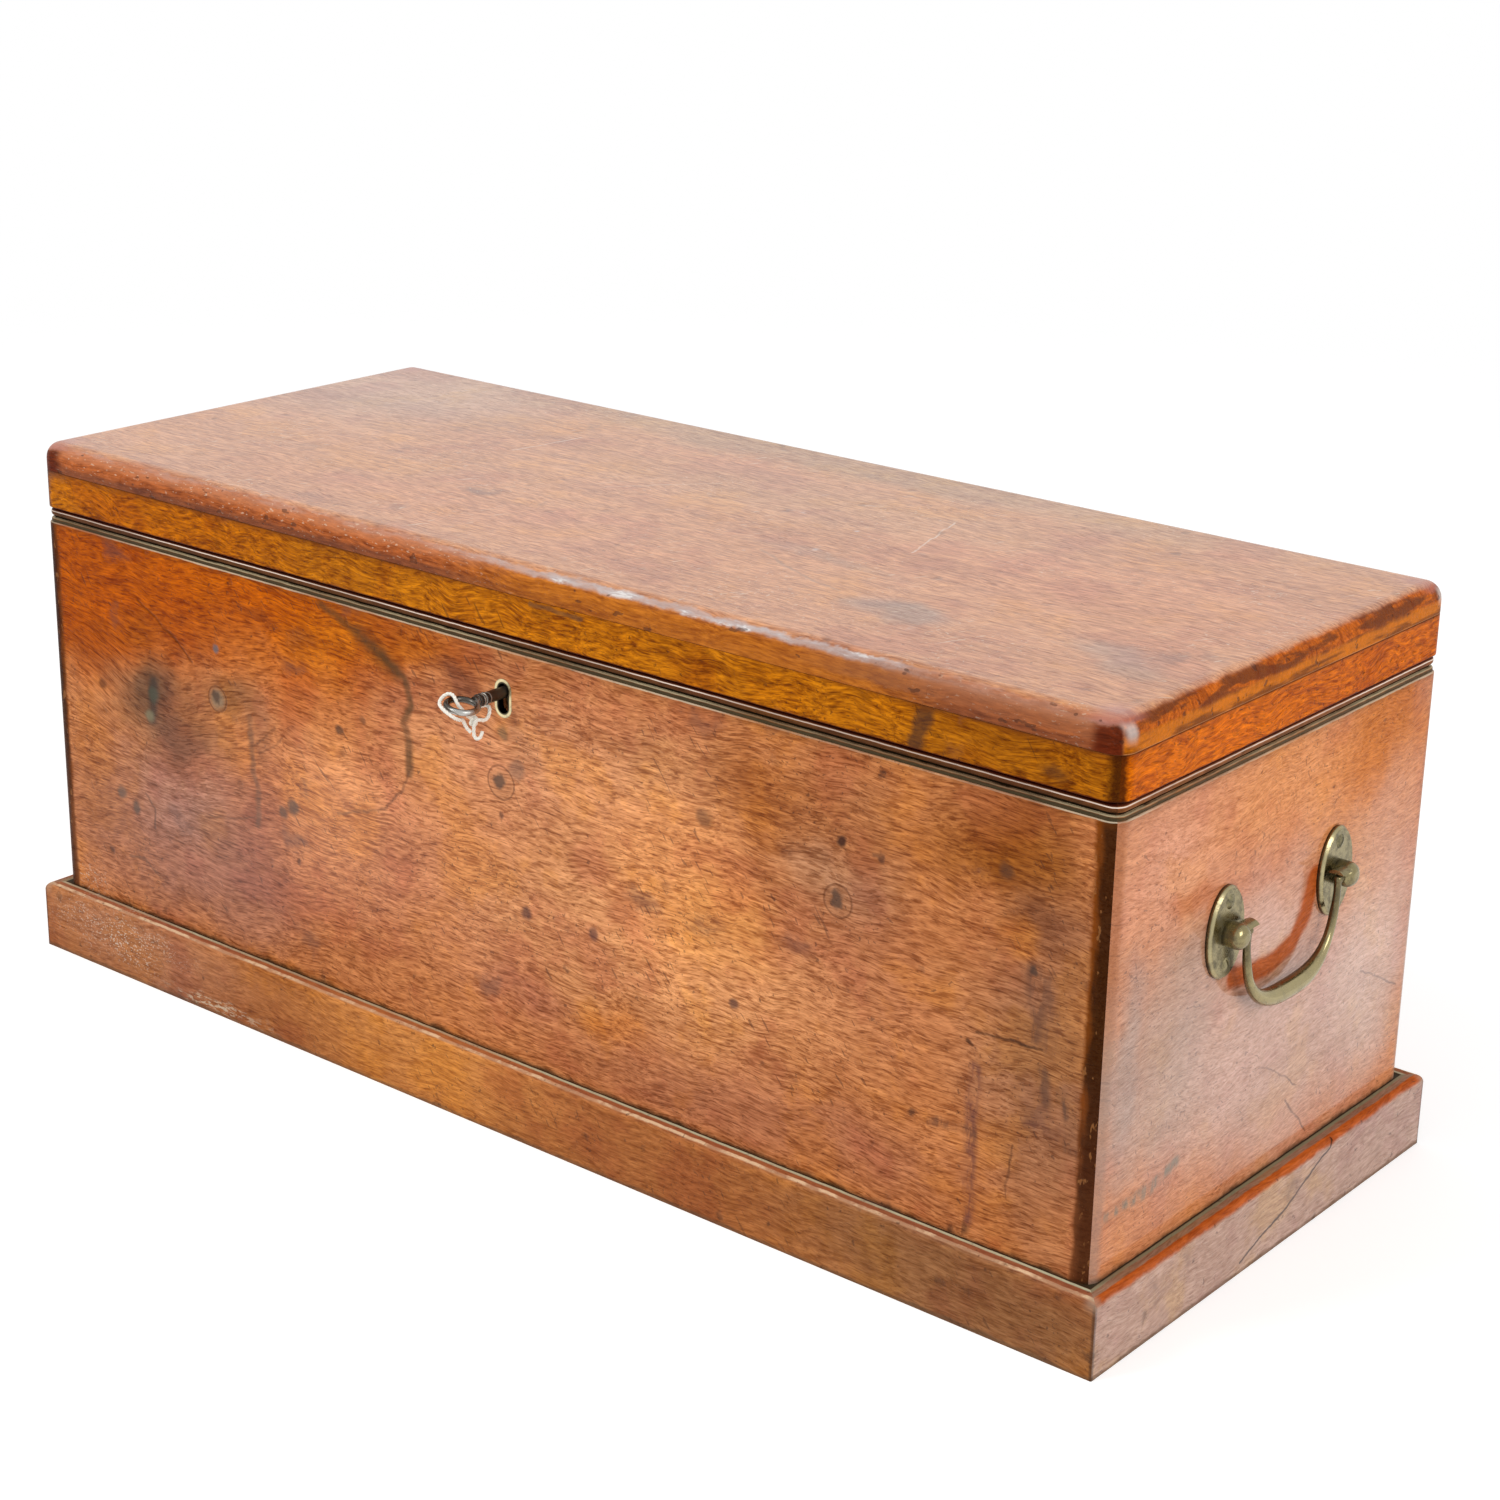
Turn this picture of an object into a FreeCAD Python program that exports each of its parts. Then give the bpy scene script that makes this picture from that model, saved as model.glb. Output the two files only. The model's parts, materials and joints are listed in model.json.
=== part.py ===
import FreeCAD, Part
import math
import os
import re
import Sketcher

from FreeCAD import Placement, Rotation, Vector

# Hardwood box with a hinged lid, lock and key, and a bail handle on each end.
# Millimetres. +Z up, front face towards -Y, origin on the floor under the middle of the outline, key included.

os.makedirs("parts", exist_ok=True)
doc = FreeCAD.newDocument("wooden_box")
sheet = doc.addObject("Spreadsheet::Sheet", "sizes")

# Driving sizes
driving = {
    "Carcase": {
        "carcase_length": 711,
        "carcase_depth": 287,
        "carcase_top": 257.4,
        "board_thickness": 18,
        "board_foot": 3,
        "carcase_corner": 7.5,
        "bottom_level": 14,
        "bottom_thickness": 12,
        "groove_depth": 7,
        "bottom_play": 0.3,
        "block_side": 22,
        "mitre_reach": 60,
        "mitre_out": 20,
        "overrun": 2,
    },
    "Plinth": {
        "plinth_height": 39.2,
        "plinth_thickness": 9.6,
        "plinth_round": 4.2,
    },
    "Rim moulding": {
        "fillet_height": 2.2,
        "fillet_round": 0.8,
        "quirk_height": 1.0,
        "quirk_inset": 2.7,
        "bead_height": 4.4,
        "bead_round": 2.0,
        "rim_inset": 0.9,
    },
    "Lid": {
        "lid_gap": 0.9,
        "lid_overhang": 0.5,
        "rail_height": 20.9,
        "rail_thickness": 18,
        "lid_corner": 9.4,
        "top_thickness": 15.8,
        "top_round": 9.0,
        "arris_round": 0.7,
    },
    "Hinges": {
        "hinge_length": 63,
        "hinge_inset": 120.5,
        "leaf_reach": 13,
        "leaf_thickness": 1.9,
        "leaf_gap": 0.3,
        "barrel_radius": 3.0,
        "hinge_pin_radius": 1.2,
        "pin_play": 0.05,
        "pin_offset": 4.0,
        "knuckle_gap": 0.3,
        "lug_clear": 0.3,
        "lug_width": 2.3,
        "lug_height": 3.1,
        "stop_drop": 1.3,
        "hinge_screw_spread": 20,
        "hinge_screw_length": 12,
        "hinge_screw_radius": 1.4,
        "hinge_head_radius": 2.8,
    },
    "Screws": {
        "screw_play": 0.05,
        "head_angle": 45,
        "slot_width": 0.8,
        "slot_depth": 0.8,
    },
    "Keyhole": {
        "hole_drop": 28.2,
        "hole_radius": 3.4,
        "thread_width": 2.3,
        "thread_depth": 4,
        "waist_half": 3.4,
        "foot_radius": 3.5,
        "foot_drop": 8.6,
        "key_sag": 1.2,
    },
    "Lock": {
        "lock_front": 6,
        "case_wall": 1.5,
        "case_play": 0.8,
        "cap_thickness": 1.5,
        "cap_ear": 10,
        "cap_screw_drop": 13,
        "selvedge_thickness": 2,
        "selvedge_ear": 12,
        "lock_screw_length": 8,
        "lock_screw_radius": 1.3,
        "lock_head_radius": 2.5,
        "bolt_front": 4.5,
        "bolt_thickness": 3,
        "bolt_throw": 7.5,
        "bolt_play": 0.4,
        "bar_rise": 15.4,
        "bar_height": 8,
        "nose_height": 5,
        "nose_clear": 0.6,
        "leg_clear": 1.5,
        "leg_width": 4,
        "heel_width": 3.5,
        "fork_bar": 2.9,
        "stump_radius": 1.5,
        "stump_offset": 3.5,
        "drill_pin_radius": 1.2,
        "spring_thickness": 0.6,
        "spring_lift": 0.4,
        "spring_half": 8,
    },
    "Link plate": {
        "link_length": 52,
        "link_width": 11,
        "link_thickness": 2,
        "link_inset": 1,
        "eye_offset": 11.5,
        "eye_thickness": 3,
        "eye_web": 1.4,
        "eye_sill": 2.0,
        "slot_play": 0.7,
        "eye_play": 0.6,
        "link_screw_spread": 20,
        "link_screw_length": 12,
    },
    "Key": {
        "shank_radius": 3.0,
        "shank_out": 11,
        "tip_clear": 1.0,
        "key_bore_depth": 12,
        "bit_radius": 10.4,
        "bit_thickness": 2,
        "bit_width": 6,
        "bit_inset": 0.7,
        "ward_width": 1.2,
        "ward_depth": 3,
        "neck_length": 9,
        "neck_radius": 2.6,
        "ring_pitch": 2.1,
        "ring_thickness": 1.5,
        "bow_diameter": 18.4,
        "bow_wire": 3.2,
        "bow_sink": 0.9,
        "key_tilt": 10,
    },
    "Handles": {
        "handle_drop": 77.4,
        "boss_spacing": 100,
        "plate_height": 45,
        "plate_width": 30,
        "plate_thickness": 3,
        "plate_bevel": 1.4,
        "boss_radius": 6.2,
        "boss_stand": 10,
        "boss_round": 4.6,
        "pivot_stand": 8,
        "arm_gap": 2.8,
        "bail_drop": 42,
        "bail_end_radius": 2.1,
        "bail_belly_radius": 4.7,
        "bail_elbow_radius": 2.35,
        "bail_pin_reach": 11,
        "bail_play": 0.08,
        "hood_radius": 5.2,
        "hood_bore": 3.5,
        "hood_lift": 3.2,
        "hood_reach": 11.5,
        "plate_screw_offset": 15.2,
        "plate_screw_length": 14,
        "plate_screw_radius": 1.8,
        "plate_head_radius": 3.5,
    },
    "String": {
        "string_diameter": 1.9,
        "knot_radius": 2.9,
    },
}

# Shapes of curves, as plain shares
bail_power_share = 2.8
bail_swell_share = 4
bail_sections = 13
arc_share = 0.45

row = 1
for group, members in driving.items():
    sheet.set("A%d" % row, group)
    row += 1
    for alias, amount in members.items():
        sheet.set("A%d" % row, alias)
        sheet.set("B%d" % row, str(amount))
        sheet.setAlias("B%d" % row, alias)
        row += 1
doc.recompute()

# Sizes worked out from the driving sizes
derived = {
    "half_length": "carcase_length / 2",
    "half_depth": "carcase_depth / 2",
    "fillet_top": "carcase_top + fillet_height",
    "quirk_top": "fillet_top + quirk_height",
    "rim_top": "quirk_top + bead_height",
    "lid_foot": "rim_top + lid_gap",
    "rail_top": "lid_foot + rail_height",
    "lid_top": "rail_top + top_thickness",
    "lid_half_length": "half_length + lid_overhang",
    "lid_half_depth": "half_depth + lid_overhang",
    "inner_half_length": "half_length - board_thickness",
    "inner_half_depth": "half_depth - board_thickness",
    # Hinges
    "hinge_spacing": "carcase_length - 2 * hinge_inset",
    "joint_level": "rim_top + lid_gap / 2",
    "pin_line": "half_depth + pin_offset",
    "lower_leaf_top": "joint_level - leaf_gap / 2",
    "lower_leaf_foot": "lower_leaf_top - leaf_thickness",
    "upper_leaf_foot": "joint_level + leaf_gap / 2",
    "upper_leaf_top": "upper_leaf_foot + leaf_thickness",
    "leaf_edge": "half_depth - leaf_reach",
    "leaf_middle": "half_depth - leaf_reach / 2",
    "barrel_clear": "barrel_radius + lug_clear",
    "leaf_end": "pin_line - barrel_clear",
    "lug_outer": "barrel_clear + lug_width",
    "knuckle_pitch": "hinge_length / 5",
    # Keyhole and key
    "hole_level": "rim_top - hole_drop",
    "key_level": "hole_level - key_sag",
    "front_face": "-half_depth",
    # Lock, with places along Y from the front face inwards
    "case_front": "front_face + lock_front",
    "case_inside": "case_front + case_wall",
    "cap_front": "front_face + board_thickness - cap_thickness",
    "cap_back": "front_face + board_thickness",
    "selvedge_foot": "rim_top - selvedge_thickness",
    "bolt_near": "case_front + bolt_front",
    "bolt_far": "bolt_near + bolt_thickness",
    "bar_foot": "key_level + bar_rise",
    "bar_top": "bar_foot + bar_height",
    "bar_middle": "bar_foot + bar_height / 2",
    "nose_foot": "bar_middle - nose_height / 2",
    "nose_top": "bar_middle + nose_height / 2",
    "eye_right": "eye_thickness / 2 - eye_offset",
    "eye_left": "-eye_thickness / 2 - eye_offset",
    "nose_tip": "eye_right + nose_clear",
    "leg_left": "bit_radius + leg_clear",
    "leg_right": "leg_left + leg_width",
    "heel_right": "bolt_throw - bit_thickness / 2 - bolt_play",
    "heel_left": "heel_right - heel_width",
    "heel_top": "key_level - bit_radius * 0.565",
    "fork_top": "key_level - bit_radius - case_play",
    "fork_foot": "fork_top - fork_bar",
    "case_left": "nose_tip - bolt_throw - case_play - case_wall",
    "case_right": "leg_right + case_play + case_wall",
    "case_foot": "fork_foot - case_play - case_wall",
    "cap_left": "case_left - cap_ear",
    "cap_right": "case_right + cap_ear",
    "selvedge_left": "case_left - selvedge_ear",
    "selvedge_right": "case_right + selvedge_ear",
    "stump_far": "bolt_far + case_wall",
    "eye_near": "bolt_near - eye_play - eye_web",
    "eye_far": "bolt_far + eye_play + eye_web",
    "eye_foot": "nose_foot - eye_play - eye_sill",
    "link_near": "case_front + link_inset",
    "link_far": "link_near + link_width",
    "link_middle": "link_near + link_width / 2",
    "spring_seat": "selvedge_foot",
    # Handles, about the middle of the handle on the end board, +X outwards
    "handle_level": "carcase_top - handle_drop",
    "boss_half": "boss_spacing / 2",
    "arm_half": "boss_half - boss_radius - arm_gap",
    "boss_end": "plate_thickness + boss_stand",
    # The key stands out at the front, so the whole moves back to centre its outline on the origin
    "key_reach": "shank_out + neck_length + bow_diameter - bow_sink",
    "frame_shift": "(key_reach - plinth_thickness) / 2",
}
words = re.compile(r"[a-z][a-z_]*[a-z]")
aliases = {alias for members in driving.values() for alias in members}


def cells(text):
    """The text with every size name turned into its cell."""
    def swap(match):
        word = match.group(0)
        if word in derived:
            return "(" + cells(derived[word]) + ")"
        return "sizes." + word if word in aliases else word
    return words.sub(swap, str(text))


def number(text):
    """The value of an expression in size names, in millimetres."""
    return float(sheet.evalExpression(cells(text)))


def bind(item, **formulas):
    for name, text in formulas.items():
        item.setExpression(name.replace("_at_", "."), cells(text))
    return item


def place(item, x="0", y="0", z="0", turn=None):
    if turn:
        item.Placement = Placement(Vector(), Rotation(Vector(*turn[0]), turn[1]))
    for axis, text in (("x", x), ("y", y), ("z", z)):
        item.setExpression("Placement.Base." + axis, cells(text))
    return item


# Primitives, each bound to the sheet

def box(name, x, y, z):
    item = doc.addObject("Part::Box", name)
    for side, (low, high) in (("Length", x), ("Width", y), ("Height", z)):
        item.setExpression(side, cells("(%s) - (%s)" % (high, low)))
    return place(item, x[0], y[0], z[0])


along_x = ((0, 1, 0), 90)
along_y = ((1, 0, 0), -90)


def rod(name, radius, length, x, y, z, turn=None):
    item = doc.addObject("Part::Cylinder", name)
    bind(item, Radius=radius, Height=length)
    return place(item, x, y, z, turn)


def cut(name, base, *tools):
    tool = tools[0] if len(tools) == 1 else fuse(name + "_cutters", *tools)
    item = doc.addObject("Part::Cut", name)
    item.Base = base
    item.Tool = tool
    return item


def fuse(name, *pieces):
    item = doc.addObject("Part::MultiFuse", name)
    item.Shapes = list(pieces)
    return item


def common(name, base, tool):
    item = doc.addObject("Part::Common", name)
    item.Base = base
    item.Tool = tool
    return item


def gathered(name, *pieces):
    item = doc.addObject("Part::Compound", name)
    item.Links = list(pieces)
    return item


def solid(name, shape):
    item = doc.addObject("Part::Feature", name)
    item.Shape = shape
    return item


nodes = []


def node(item, label):
    """A sub-part, moved along Y by the frame's shift."""
    item.Label = label
    nodes.append(item)
    own = [text for path, text in item.ExpressionEngine if path.endswith("Placement.Base.y")]
    item.setExpression("Placement.Base.y", " + ".join(own + [cells("frame_shift")]))
    return item


def upright_edges(shape):
    return ["Edge%d" % place_in_list for place_in_list, edge in enumerate(shape.Edges, 1)
            if edge.BoundBox.XLength < edge.BoundBox.ZLength and edge.BoundBox.YLength < edge.BoundBox.ZLength]


def level_edges(shape, level):
    reach = shape.BoundBox.ZLength / 1000
    return ["Edge%d" % place_in_list for place_in_list, edge in enumerate(shape.Edges, 1)
            if abs(edge.BoundBox.ZMin - level) < reach and abs(edge.BoundBox.ZMax - level) < reach]


def blank(name, half_x, half_y, foot, top, corner, top_round=None, foot_round=None):
    """A body centred on the Z axis: a block with rounded corners in plan and eased outlines."""
    body = doc.addObject("PartDesign::Body", name)
    block = body.newObject("PartDesign::AdditiveBox", name + "_block")
    bind(block, Length="2 * (%s)" % half_x, Width="2 * (%s)" % half_y, Height="(%s) - (%s)" % (top, foot))
    place(block, "-(%s)" % half_x, "-(%s)" % half_y, foot)
    doc.recompute()
    rounds = body.newObject("PartDesign::Fillet", name + "_corners")
    rounds.Base = (block, upright_edges(block.Shape))
    bind(rounds, Radius=corner)
    doc.recompute()
    for radius, level, word in ((top_round, top, "_top"), (foot_round, foot, "_foot")):
        if radius:
            ease = body.newObject("PartDesign::Fillet", name + word)
            ease.Base = (rounds, level_edges(rounds.Shape, number(level)))
            bind(ease, Radius=radius)
            doc.recompute()
            rounds = ease
    return body


def outline_pad(name, points, y, depth):
    """A body with a closed outline in XZ, each corner held by two formulas, padded along Y."""
    body = doc.addObject("PartDesign::Body", name)
    sketch = body.newObject("Sketcher::SketchObject", name + "_outline")
    plane = [item for item in body.Origin.OriginFeatures if item.Role == "XZ_Plane"][0]
    sketch.AttachmentSupport = [(plane, "")]
    sketch.MapMode = "FlatFace"
    sketch.setExpression("AttachmentOffset.Base.z", cells("-(%s)" % y))
    corners = [(number(x), number(z)) for x, z in points]
    for here, (x, z) in enumerate(corners):
        onward = corners[(here + 1) % len(corners)]
        sketch.addGeometry(Part.LineSegment(Vector(x, z, 0), Vector(onward[0], onward[1], 0)), False)
    for here in range(len(corners)):
        sketch.addConstraint(Sketcher.Constraint("Coincident", here, 2, (here + 1) % len(corners), 1))
    for here, (x, z) in enumerate(points):
        for kind, text, amount in (("DistanceX", x, corners[here][0]), ("DistanceY", z, corners[here][1])):
            hold = sketch.addConstraint(Sketcher.Constraint(kind, -1, 1, here, 1, amount))
            sketch.setExpression("Constraints[%d]" % hold, cells(text))
    pad = body.newObject("PartDesign::Pad", name + "_pad")
    pad.Profile = sketch
    pad.Reversed = True
    bind(pad, Length=depth)
    return body


# Screws: one slotted countersunk shape, set out in groups with the bores that take them

def screw_shape(length, radius, head, play=0.0, slotted=True):
    """A countersunk screw along +Z from its flat head at zero, pointing down."""
    cone = (number(head) - number(radius)) / math.tan(math.radians(number("head_angle")))
    core = number(radius) + play
    rim = number(head) + play
    profile = Part.makePolygon([Vector(), Vector(rim, 0, 0), Vector(core, 0, -cone),
                                Vector(core, 0, -number(length) - play), Vector(0, 0, -number(length) - play),
                                Vector()])
    shape = Part.Face(profile).revolve(Vector(), Vector(0, 0, 1), 360)
    if slotted:
        wide = number("slot_width")
        deep = number("slot_depth")
        slot = Part.makeBox(3 * rim, wide, 2 * deep, Vector(-1.5 * rim, -wide / 2, -deep))
        shape = shape.cut(slot)
    return shape


def screw_group(name, middle, offsets, turn, length, radius, head):
    """The screws about a middle as one node of separate solids, and their bores as one tool."""
    screws = []
    bores = []
    for count, offset in enumerate(offsets):
        twist = Rotation(Vector(0, 0, 1), 35 * (count % 4) + 15)
        seat = Placement(Vector(*[number(text) for text in offset]), turn * twist)
        screw = screw_shape(length, radius, head)
        bore = screw_shape(length, radius, head, number("screw_play"), False)
        screw.Placement = seat
        bore.Placement = seat
        screws.append(screw)
        bores.append(bore)
    set_out = solid(name, Part.makeCompound(screws)), solid(name + "_bores", Part.makeCompound(bores))
    return [place(item, *middle) for item in set_out]


facing_up = Rotation()
facing_down = Rotation(Vector(1, 0, 0), 180)
facing_inside = Rotation(Vector(1, 0, 0), -90)
facing_right = Rotation(Vector(0, 1, 0), 90)

# Mitre cutters, one for each side, shared by the carcase, rim, plinth and lid rails

cutter_tall = "lid_top + mitre_out"


def mitre_cutter(side, across, outward, angle):
    item = doc.addObject("Part::Wedge", "mitre_" + side)
    wide = "(%s) + mitre_out" % across
    narrow = "(%s) - mitre_reach" % across
    bind(item, Xmin="-(%s)" % wide, Xmax=wide, X2min="-(%s)" % narrow, X2max=narrow)
    bind(item, Ymin="-((%s) + mitre_out)" % outward, Ymax="mitre_reach - (%s)" % outward)
    bind(item, Zmin="0", Z2min="0", Zmax=cutter_tall, Z2max=cutter_tall)
    item.Placement = Placement(Vector(), Rotation(Vector(0, 0, 1), angle))
    return item


mitres = {
    "front": mitre_cutter("front", "half_length", "half_depth", 0),
    "back": mitre_cutter("back", "half_length", "half_depth", 180),
    "right": mitre_cutter("right", "half_depth", "half_length", 90),
    "left": mitre_cutter("left", "half_depth", "half_length", -90),
}


def mitred(ring, name):
    return {side: common(name % side, ring, cutter) for side, cutter in mitres.items()}


def core(name, half_x, half_y, foot, top):
    return box(name, ("-(%s)" % half_x, half_x), ("-(%s)" % half_y, half_y), (foot, top))


# Carcase boards, mitred at the corners and grooved for the bottom

carcase_outside = blank("carcase_outside", "half_length", "half_depth", "board_foot", "carcase_top",
                        "carcase_corner", top_round="fillet_round")
carcase_inside = core("carcase_inside", "inner_half_length", "inner_half_depth", "board_foot - overrun",
                      "carcase_top + overrun")
bottom_groove = core("bottom_groove", "inner_half_length + groove_depth", "inner_half_depth + groove_depth",
                     "bottom_level", "bottom_level + bottom_thickness")
carcase_ring = cut("carcase_ring", carcase_outside, carcase_inside, bottom_groove)
boards = mitred(carcase_ring, "%s_board_blank")

node(core("bottom_panel", "inner_half_length + groove_depth - bottom_play",
          "inner_half_depth + groove_depth - bottom_play", "bottom_level", "bottom_level + bottom_thickness"),
     "bottom_board")

# Glue blocks under the bottom, two to a long side and one to each corner

glue_blocks = []
for side_x in (-1, 1):
    for side_y in (-1, 1):
        for share in (1, 0.4):
            edge_x = "%d * inner_half_length * %s" % (side_x, share)
            edge_y = "%d * inner_half_depth" % side_y
            spans = []
            for sign, edge in ((side_x, edge_x), (side_y, edge_y)):
                inward = "%s - %d * block_side" % (edge, sign)
                spans.append((inward, edge) if sign > 0 else (edge, inward))
            glue_blocks.append(box("glue_block", spans[0], spans[1], ("board_foot", "bottom_level")))
node(fuse("block_set", *glue_blocks), "glue_blocks")

# Rim moulding: a small fillet, a quirk and a bead on top of the boards

rim_fillet = blank("rim_fillet", "half_length - rim_inset", "half_depth - rim_inset", "carcase_top", "fillet_top",
                   "carcase_corner - rim_inset", top_round="fillet_round")
rim_quirk = blank("rim_quirk", "half_length - quirk_inset", "half_depth - quirk_inset", "fillet_top", "quirk_top",
                  "carcase_corner - quirk_inset")
rim_bead = blank("rim_bead", "half_length - rim_inset", "half_depth - rim_inset", "quirk_top", "rim_top",
                 "carcase_corner - rim_inset", top_round="bead_round", foot_round="bead_round")
rim_inside = core("rim_inside", "inner_half_length", "inner_half_depth", "carcase_top - overrun",
                  "rim_top + overrun")
rim_ring = cut("rim_ring", fuse("rim_layers", rim_fillet, rim_quirk, rim_bead), rim_inside)
rims = mitred(rim_ring, "rim_%s_blank")

# Plinth, planted round the foot of the boards

plinth_outside = blank("plinth_outside", "half_length + plinth_thickness", "half_depth + plinth_thickness",
                       "0", "plinth_height", "arris_round", top_round="plinth_round")
plinth_inside = blank("plinth_inside", "half_length", "half_depth", "-overrun", "plinth_height + overrun",
                      "carcase_corner")
plinth_ring = cut("plinth_ring", plinth_outside, plinth_inside)
for side, piece in mitred(plinth_ring, "plinth_%s_strip").items():
    node(piece, "plinth_" + side)

# Lid rails and top board

rail_outside = blank("rail_outside", "lid_half_length", "lid_half_depth", "lid_foot", "rail_top", "lid_corner",
                     top_round="arris_round / 2", foot_round="arris_round")
rail_inside = core("rail_inside", "lid_half_length - rail_thickness", "lid_half_depth - rail_thickness",
                   "lid_foot - overrun", "rail_top + overrun")
rails = mitred(cut("rail_ring", rail_outside, rail_inside), "lid_%s_rail_blank")
node(blank("top_board", "lid_half_length", "lid_half_depth", "rail_top", "lid_top", "lid_corner",
           top_round="top_round", foot_round="arris_round"), "lid_top_board")

# Hinges: a lower leaf, an upper leaf and a pin each, with lugs behind the barrel that stop the lid

lower_seats = []
upper_seats = []
hinge_places = {"left": "-hinge_spacing / 2", "right": "hinge_spacing / 2"}
for side, middle in hinge_places.items():
    start = "%s - hinge_length / 2" % middle
    finish = "%s + hinge_length / 2" % middle
    knuckles = {"lower": [], "upper": []}
    for count in range(5):
        owner = "upper" if count % 2 else "lower"
        left = "%s + %d * knuckle_pitch + knuckle_gap / 2" % (start, count)
        right = "%s + %d * knuckle_pitch - knuckle_gap / 2" % (start, count + 1)
        leaf_span = {"lower": ("lower_leaf_foot", "lower_leaf_top"), "upper": ("upper_leaf_foot", "upper_leaf_top")}
        lug_y = {"lower": ("pin_line", "pin_line + barrel_clear"), "upper": ("pin_line - lug_height", "pin_line")}
        lug_z = {"lower": ("joint_level - stop_drop - lug_height", "joint_level - stop_drop"),
                 "upper": ("upper_leaf_foot", "joint_level + barrel_clear")}
        knuckles[owner].append(rod("knuckle", "barrel_radius", "knuckle_pitch - knuckle_gap", left, "pin_line",
                                   "joint_level", along_x))
        knuckles[owner].append(box("knuckle_root", (left, right), ("leaf_end", "pin_line"), leaf_span[owner]))
        knuckles[owner].append(box("knuckle_lug", (left, right), lug_y[owner], lug_z[owner]))
    lower_plate = box("lower_plate", (start, finish), ("leaf_edge", "leaf_end"), ("lower_leaf_foot", "lower_leaf_top"))
    upper_plate = box("upper_plate", (start, finish), ("leaf_edge", "leaf_end"), ("upper_leaf_foot", "upper_leaf_top"))
    lower_lug = box("lower_lug", (start, finish), ("pin_line + barrel_clear", "pin_line + lug_outer"),
                    ("joint_level - stop_drop - lug_height", "joint_level - stop_drop"))
    upper_lug = box("upper_lug", (start, finish), ("pin_line - lug_height", "pin_line"),
                    ("joint_level + barrel_clear", "joint_level + lug_outer"))
    pin_bore = rod("pin_bore", "hinge_pin_radius + pin_play", "hinge_length + 2 * overrun", "%s - overrun" % start,
                   "pin_line", "joint_level", along_x)
    spread = [("%d * hinge_screw_spread" % step, "0", "0") for step in (-1, 0, 1)]
    lower_screws, lower_bores = screw_group("hinge_%s_lower_screw" % side, (middle, "leaf_middle", "lower_leaf_top"),
                                            spread, facing_up, "hinge_screw_length", "hinge_screw_radius",
                                            "hinge_head_radius")
    upper_screws, upper_bores = screw_group("hinge_%s_upper_screw" % side, (middle, "leaf_middle", "upper_leaf_foot"),
                                            spread, facing_down, "hinge_screw_length", "hinge_screw_radius",
                                            "hinge_head_radius")
    node(lower_screws, "hinge_%s_lower_screws" % side)
    node(upper_screws, "hinge_%s_upper_screws" % side)
    lower_body = fuse("lower_leaf_body", lower_plate, lower_lug, *knuckles["lower"])
    upper_body = fuse("upper_leaf_body", upper_plate, upper_lug, *knuckles["upper"])
    node(cut("lower_leaf", lower_body, pin_bore, lower_bores), "hinge_%s_lower_leaf" % side)
    node(cut("upper_leaf", upper_body, pin_bore, upper_bores), "hinge_%s_upper_leaf" % side)
    node(rod("pin", "hinge_pin_radius", "hinge_length", start, "pin_line", "joint_level", along_x),
         "hinge_%s_pin" % side)
    lower_seats.append(box("lower_seat", (start, finish), ("leaf_edge", "half_depth + overrun"),
                           ("lower_leaf_foot", "rim_top + overrun")))
    upper_seats.append(box("upper_seat", (start, finish), ("leaf_edge", "lid_half_depth + overrun"),
                           ("lid_foot - overrun", "upper_leaf_top")))
    lower_seats.append(lower_bores)
    upper_seats.append(upper_bores)
hinge_cut = fuse("hinge_cut", *lower_seats)
node(cut("back_board_cut", boards["back"], hinge_cut), "back_board")
node(cut("rim_back_cut", rims["back"], hinge_cut), "rim_bead_back")
node(cut("lid_back_cut", rails["back"], *upper_seats), "lid_back_rail")

# Keyhole shape: a round head, a waist and a round foot, drawn at any margin


def keyhole(name, margin, near, far):
    """The keyhole enlarged by a margin, from near to far along Y."""
    deep = "(%s) - (%s)" % (far, near)
    wide = "waist_half + (%s)" % margin
    head = rod(name + "_head", "hole_radius + (%s)" % margin, deep, "0", near, "hole_level", along_y)
    foot = rod(name + "_foot", "foot_radius + (%s)" % margin, deep, "0", near, "hole_level - foot_drop", along_y)
    waist = box(name + "_waist", ("-(%s)" % wide, wide), (near, far), ("hole_level - foot_drop", "hole_level"))
    return fuse(name, head, waist, foot)


thread_seat = keyhole("thread_seat", "thread_width", "front_face - overrun", "front_face + thread_depth")
thread_body = keyhole("thread_body", "thread_width", "front_face", "front_face + thread_depth")
thread_hole = keyhole("thread_hole", "0", "front_face - overrun", "case_inside + overrun / 4")
node(cut("thread", thread_body, thread_hole), "escutcheon")

# Lock case with its selvedge, let into the front board from inside

case_block = box("case_block", ("case_left", "case_right"), ("case_front", "cap_front"),
                 ("case_foot", "selvedge_foot"))
case_room = box("case_room", ("case_left + case_wall", "case_right - case_wall"),
                ("case_inside", "cap_front + overrun"), ("case_foot + case_wall", "selvedge_foot - case_wall"))
selvedge = box("selvedge", ("selvedge_left", "selvedge_right"), ("case_front", "cap_back"),
               ("selvedge_foot", "rim_top"))
stump = rod("stump", "stump_radius", "stump_far - case_inside", "stump_offset", "case_inside", "bar_middle", along_y)
eye_slot = box("eye_slot", ("eye_left - slot_play", "eye_right + slot_play"),
               ("eye_near - slot_play", "eye_far + slot_play"),
               ("selvedge_foot - case_wall - overrun", "rim_top + overrun"))
selvedge_spread = [("selvedge_left + selvedge_ear / 2", "0", "0"), ("selvedge_right - selvedge_ear / 2", "0", "0")]
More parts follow.
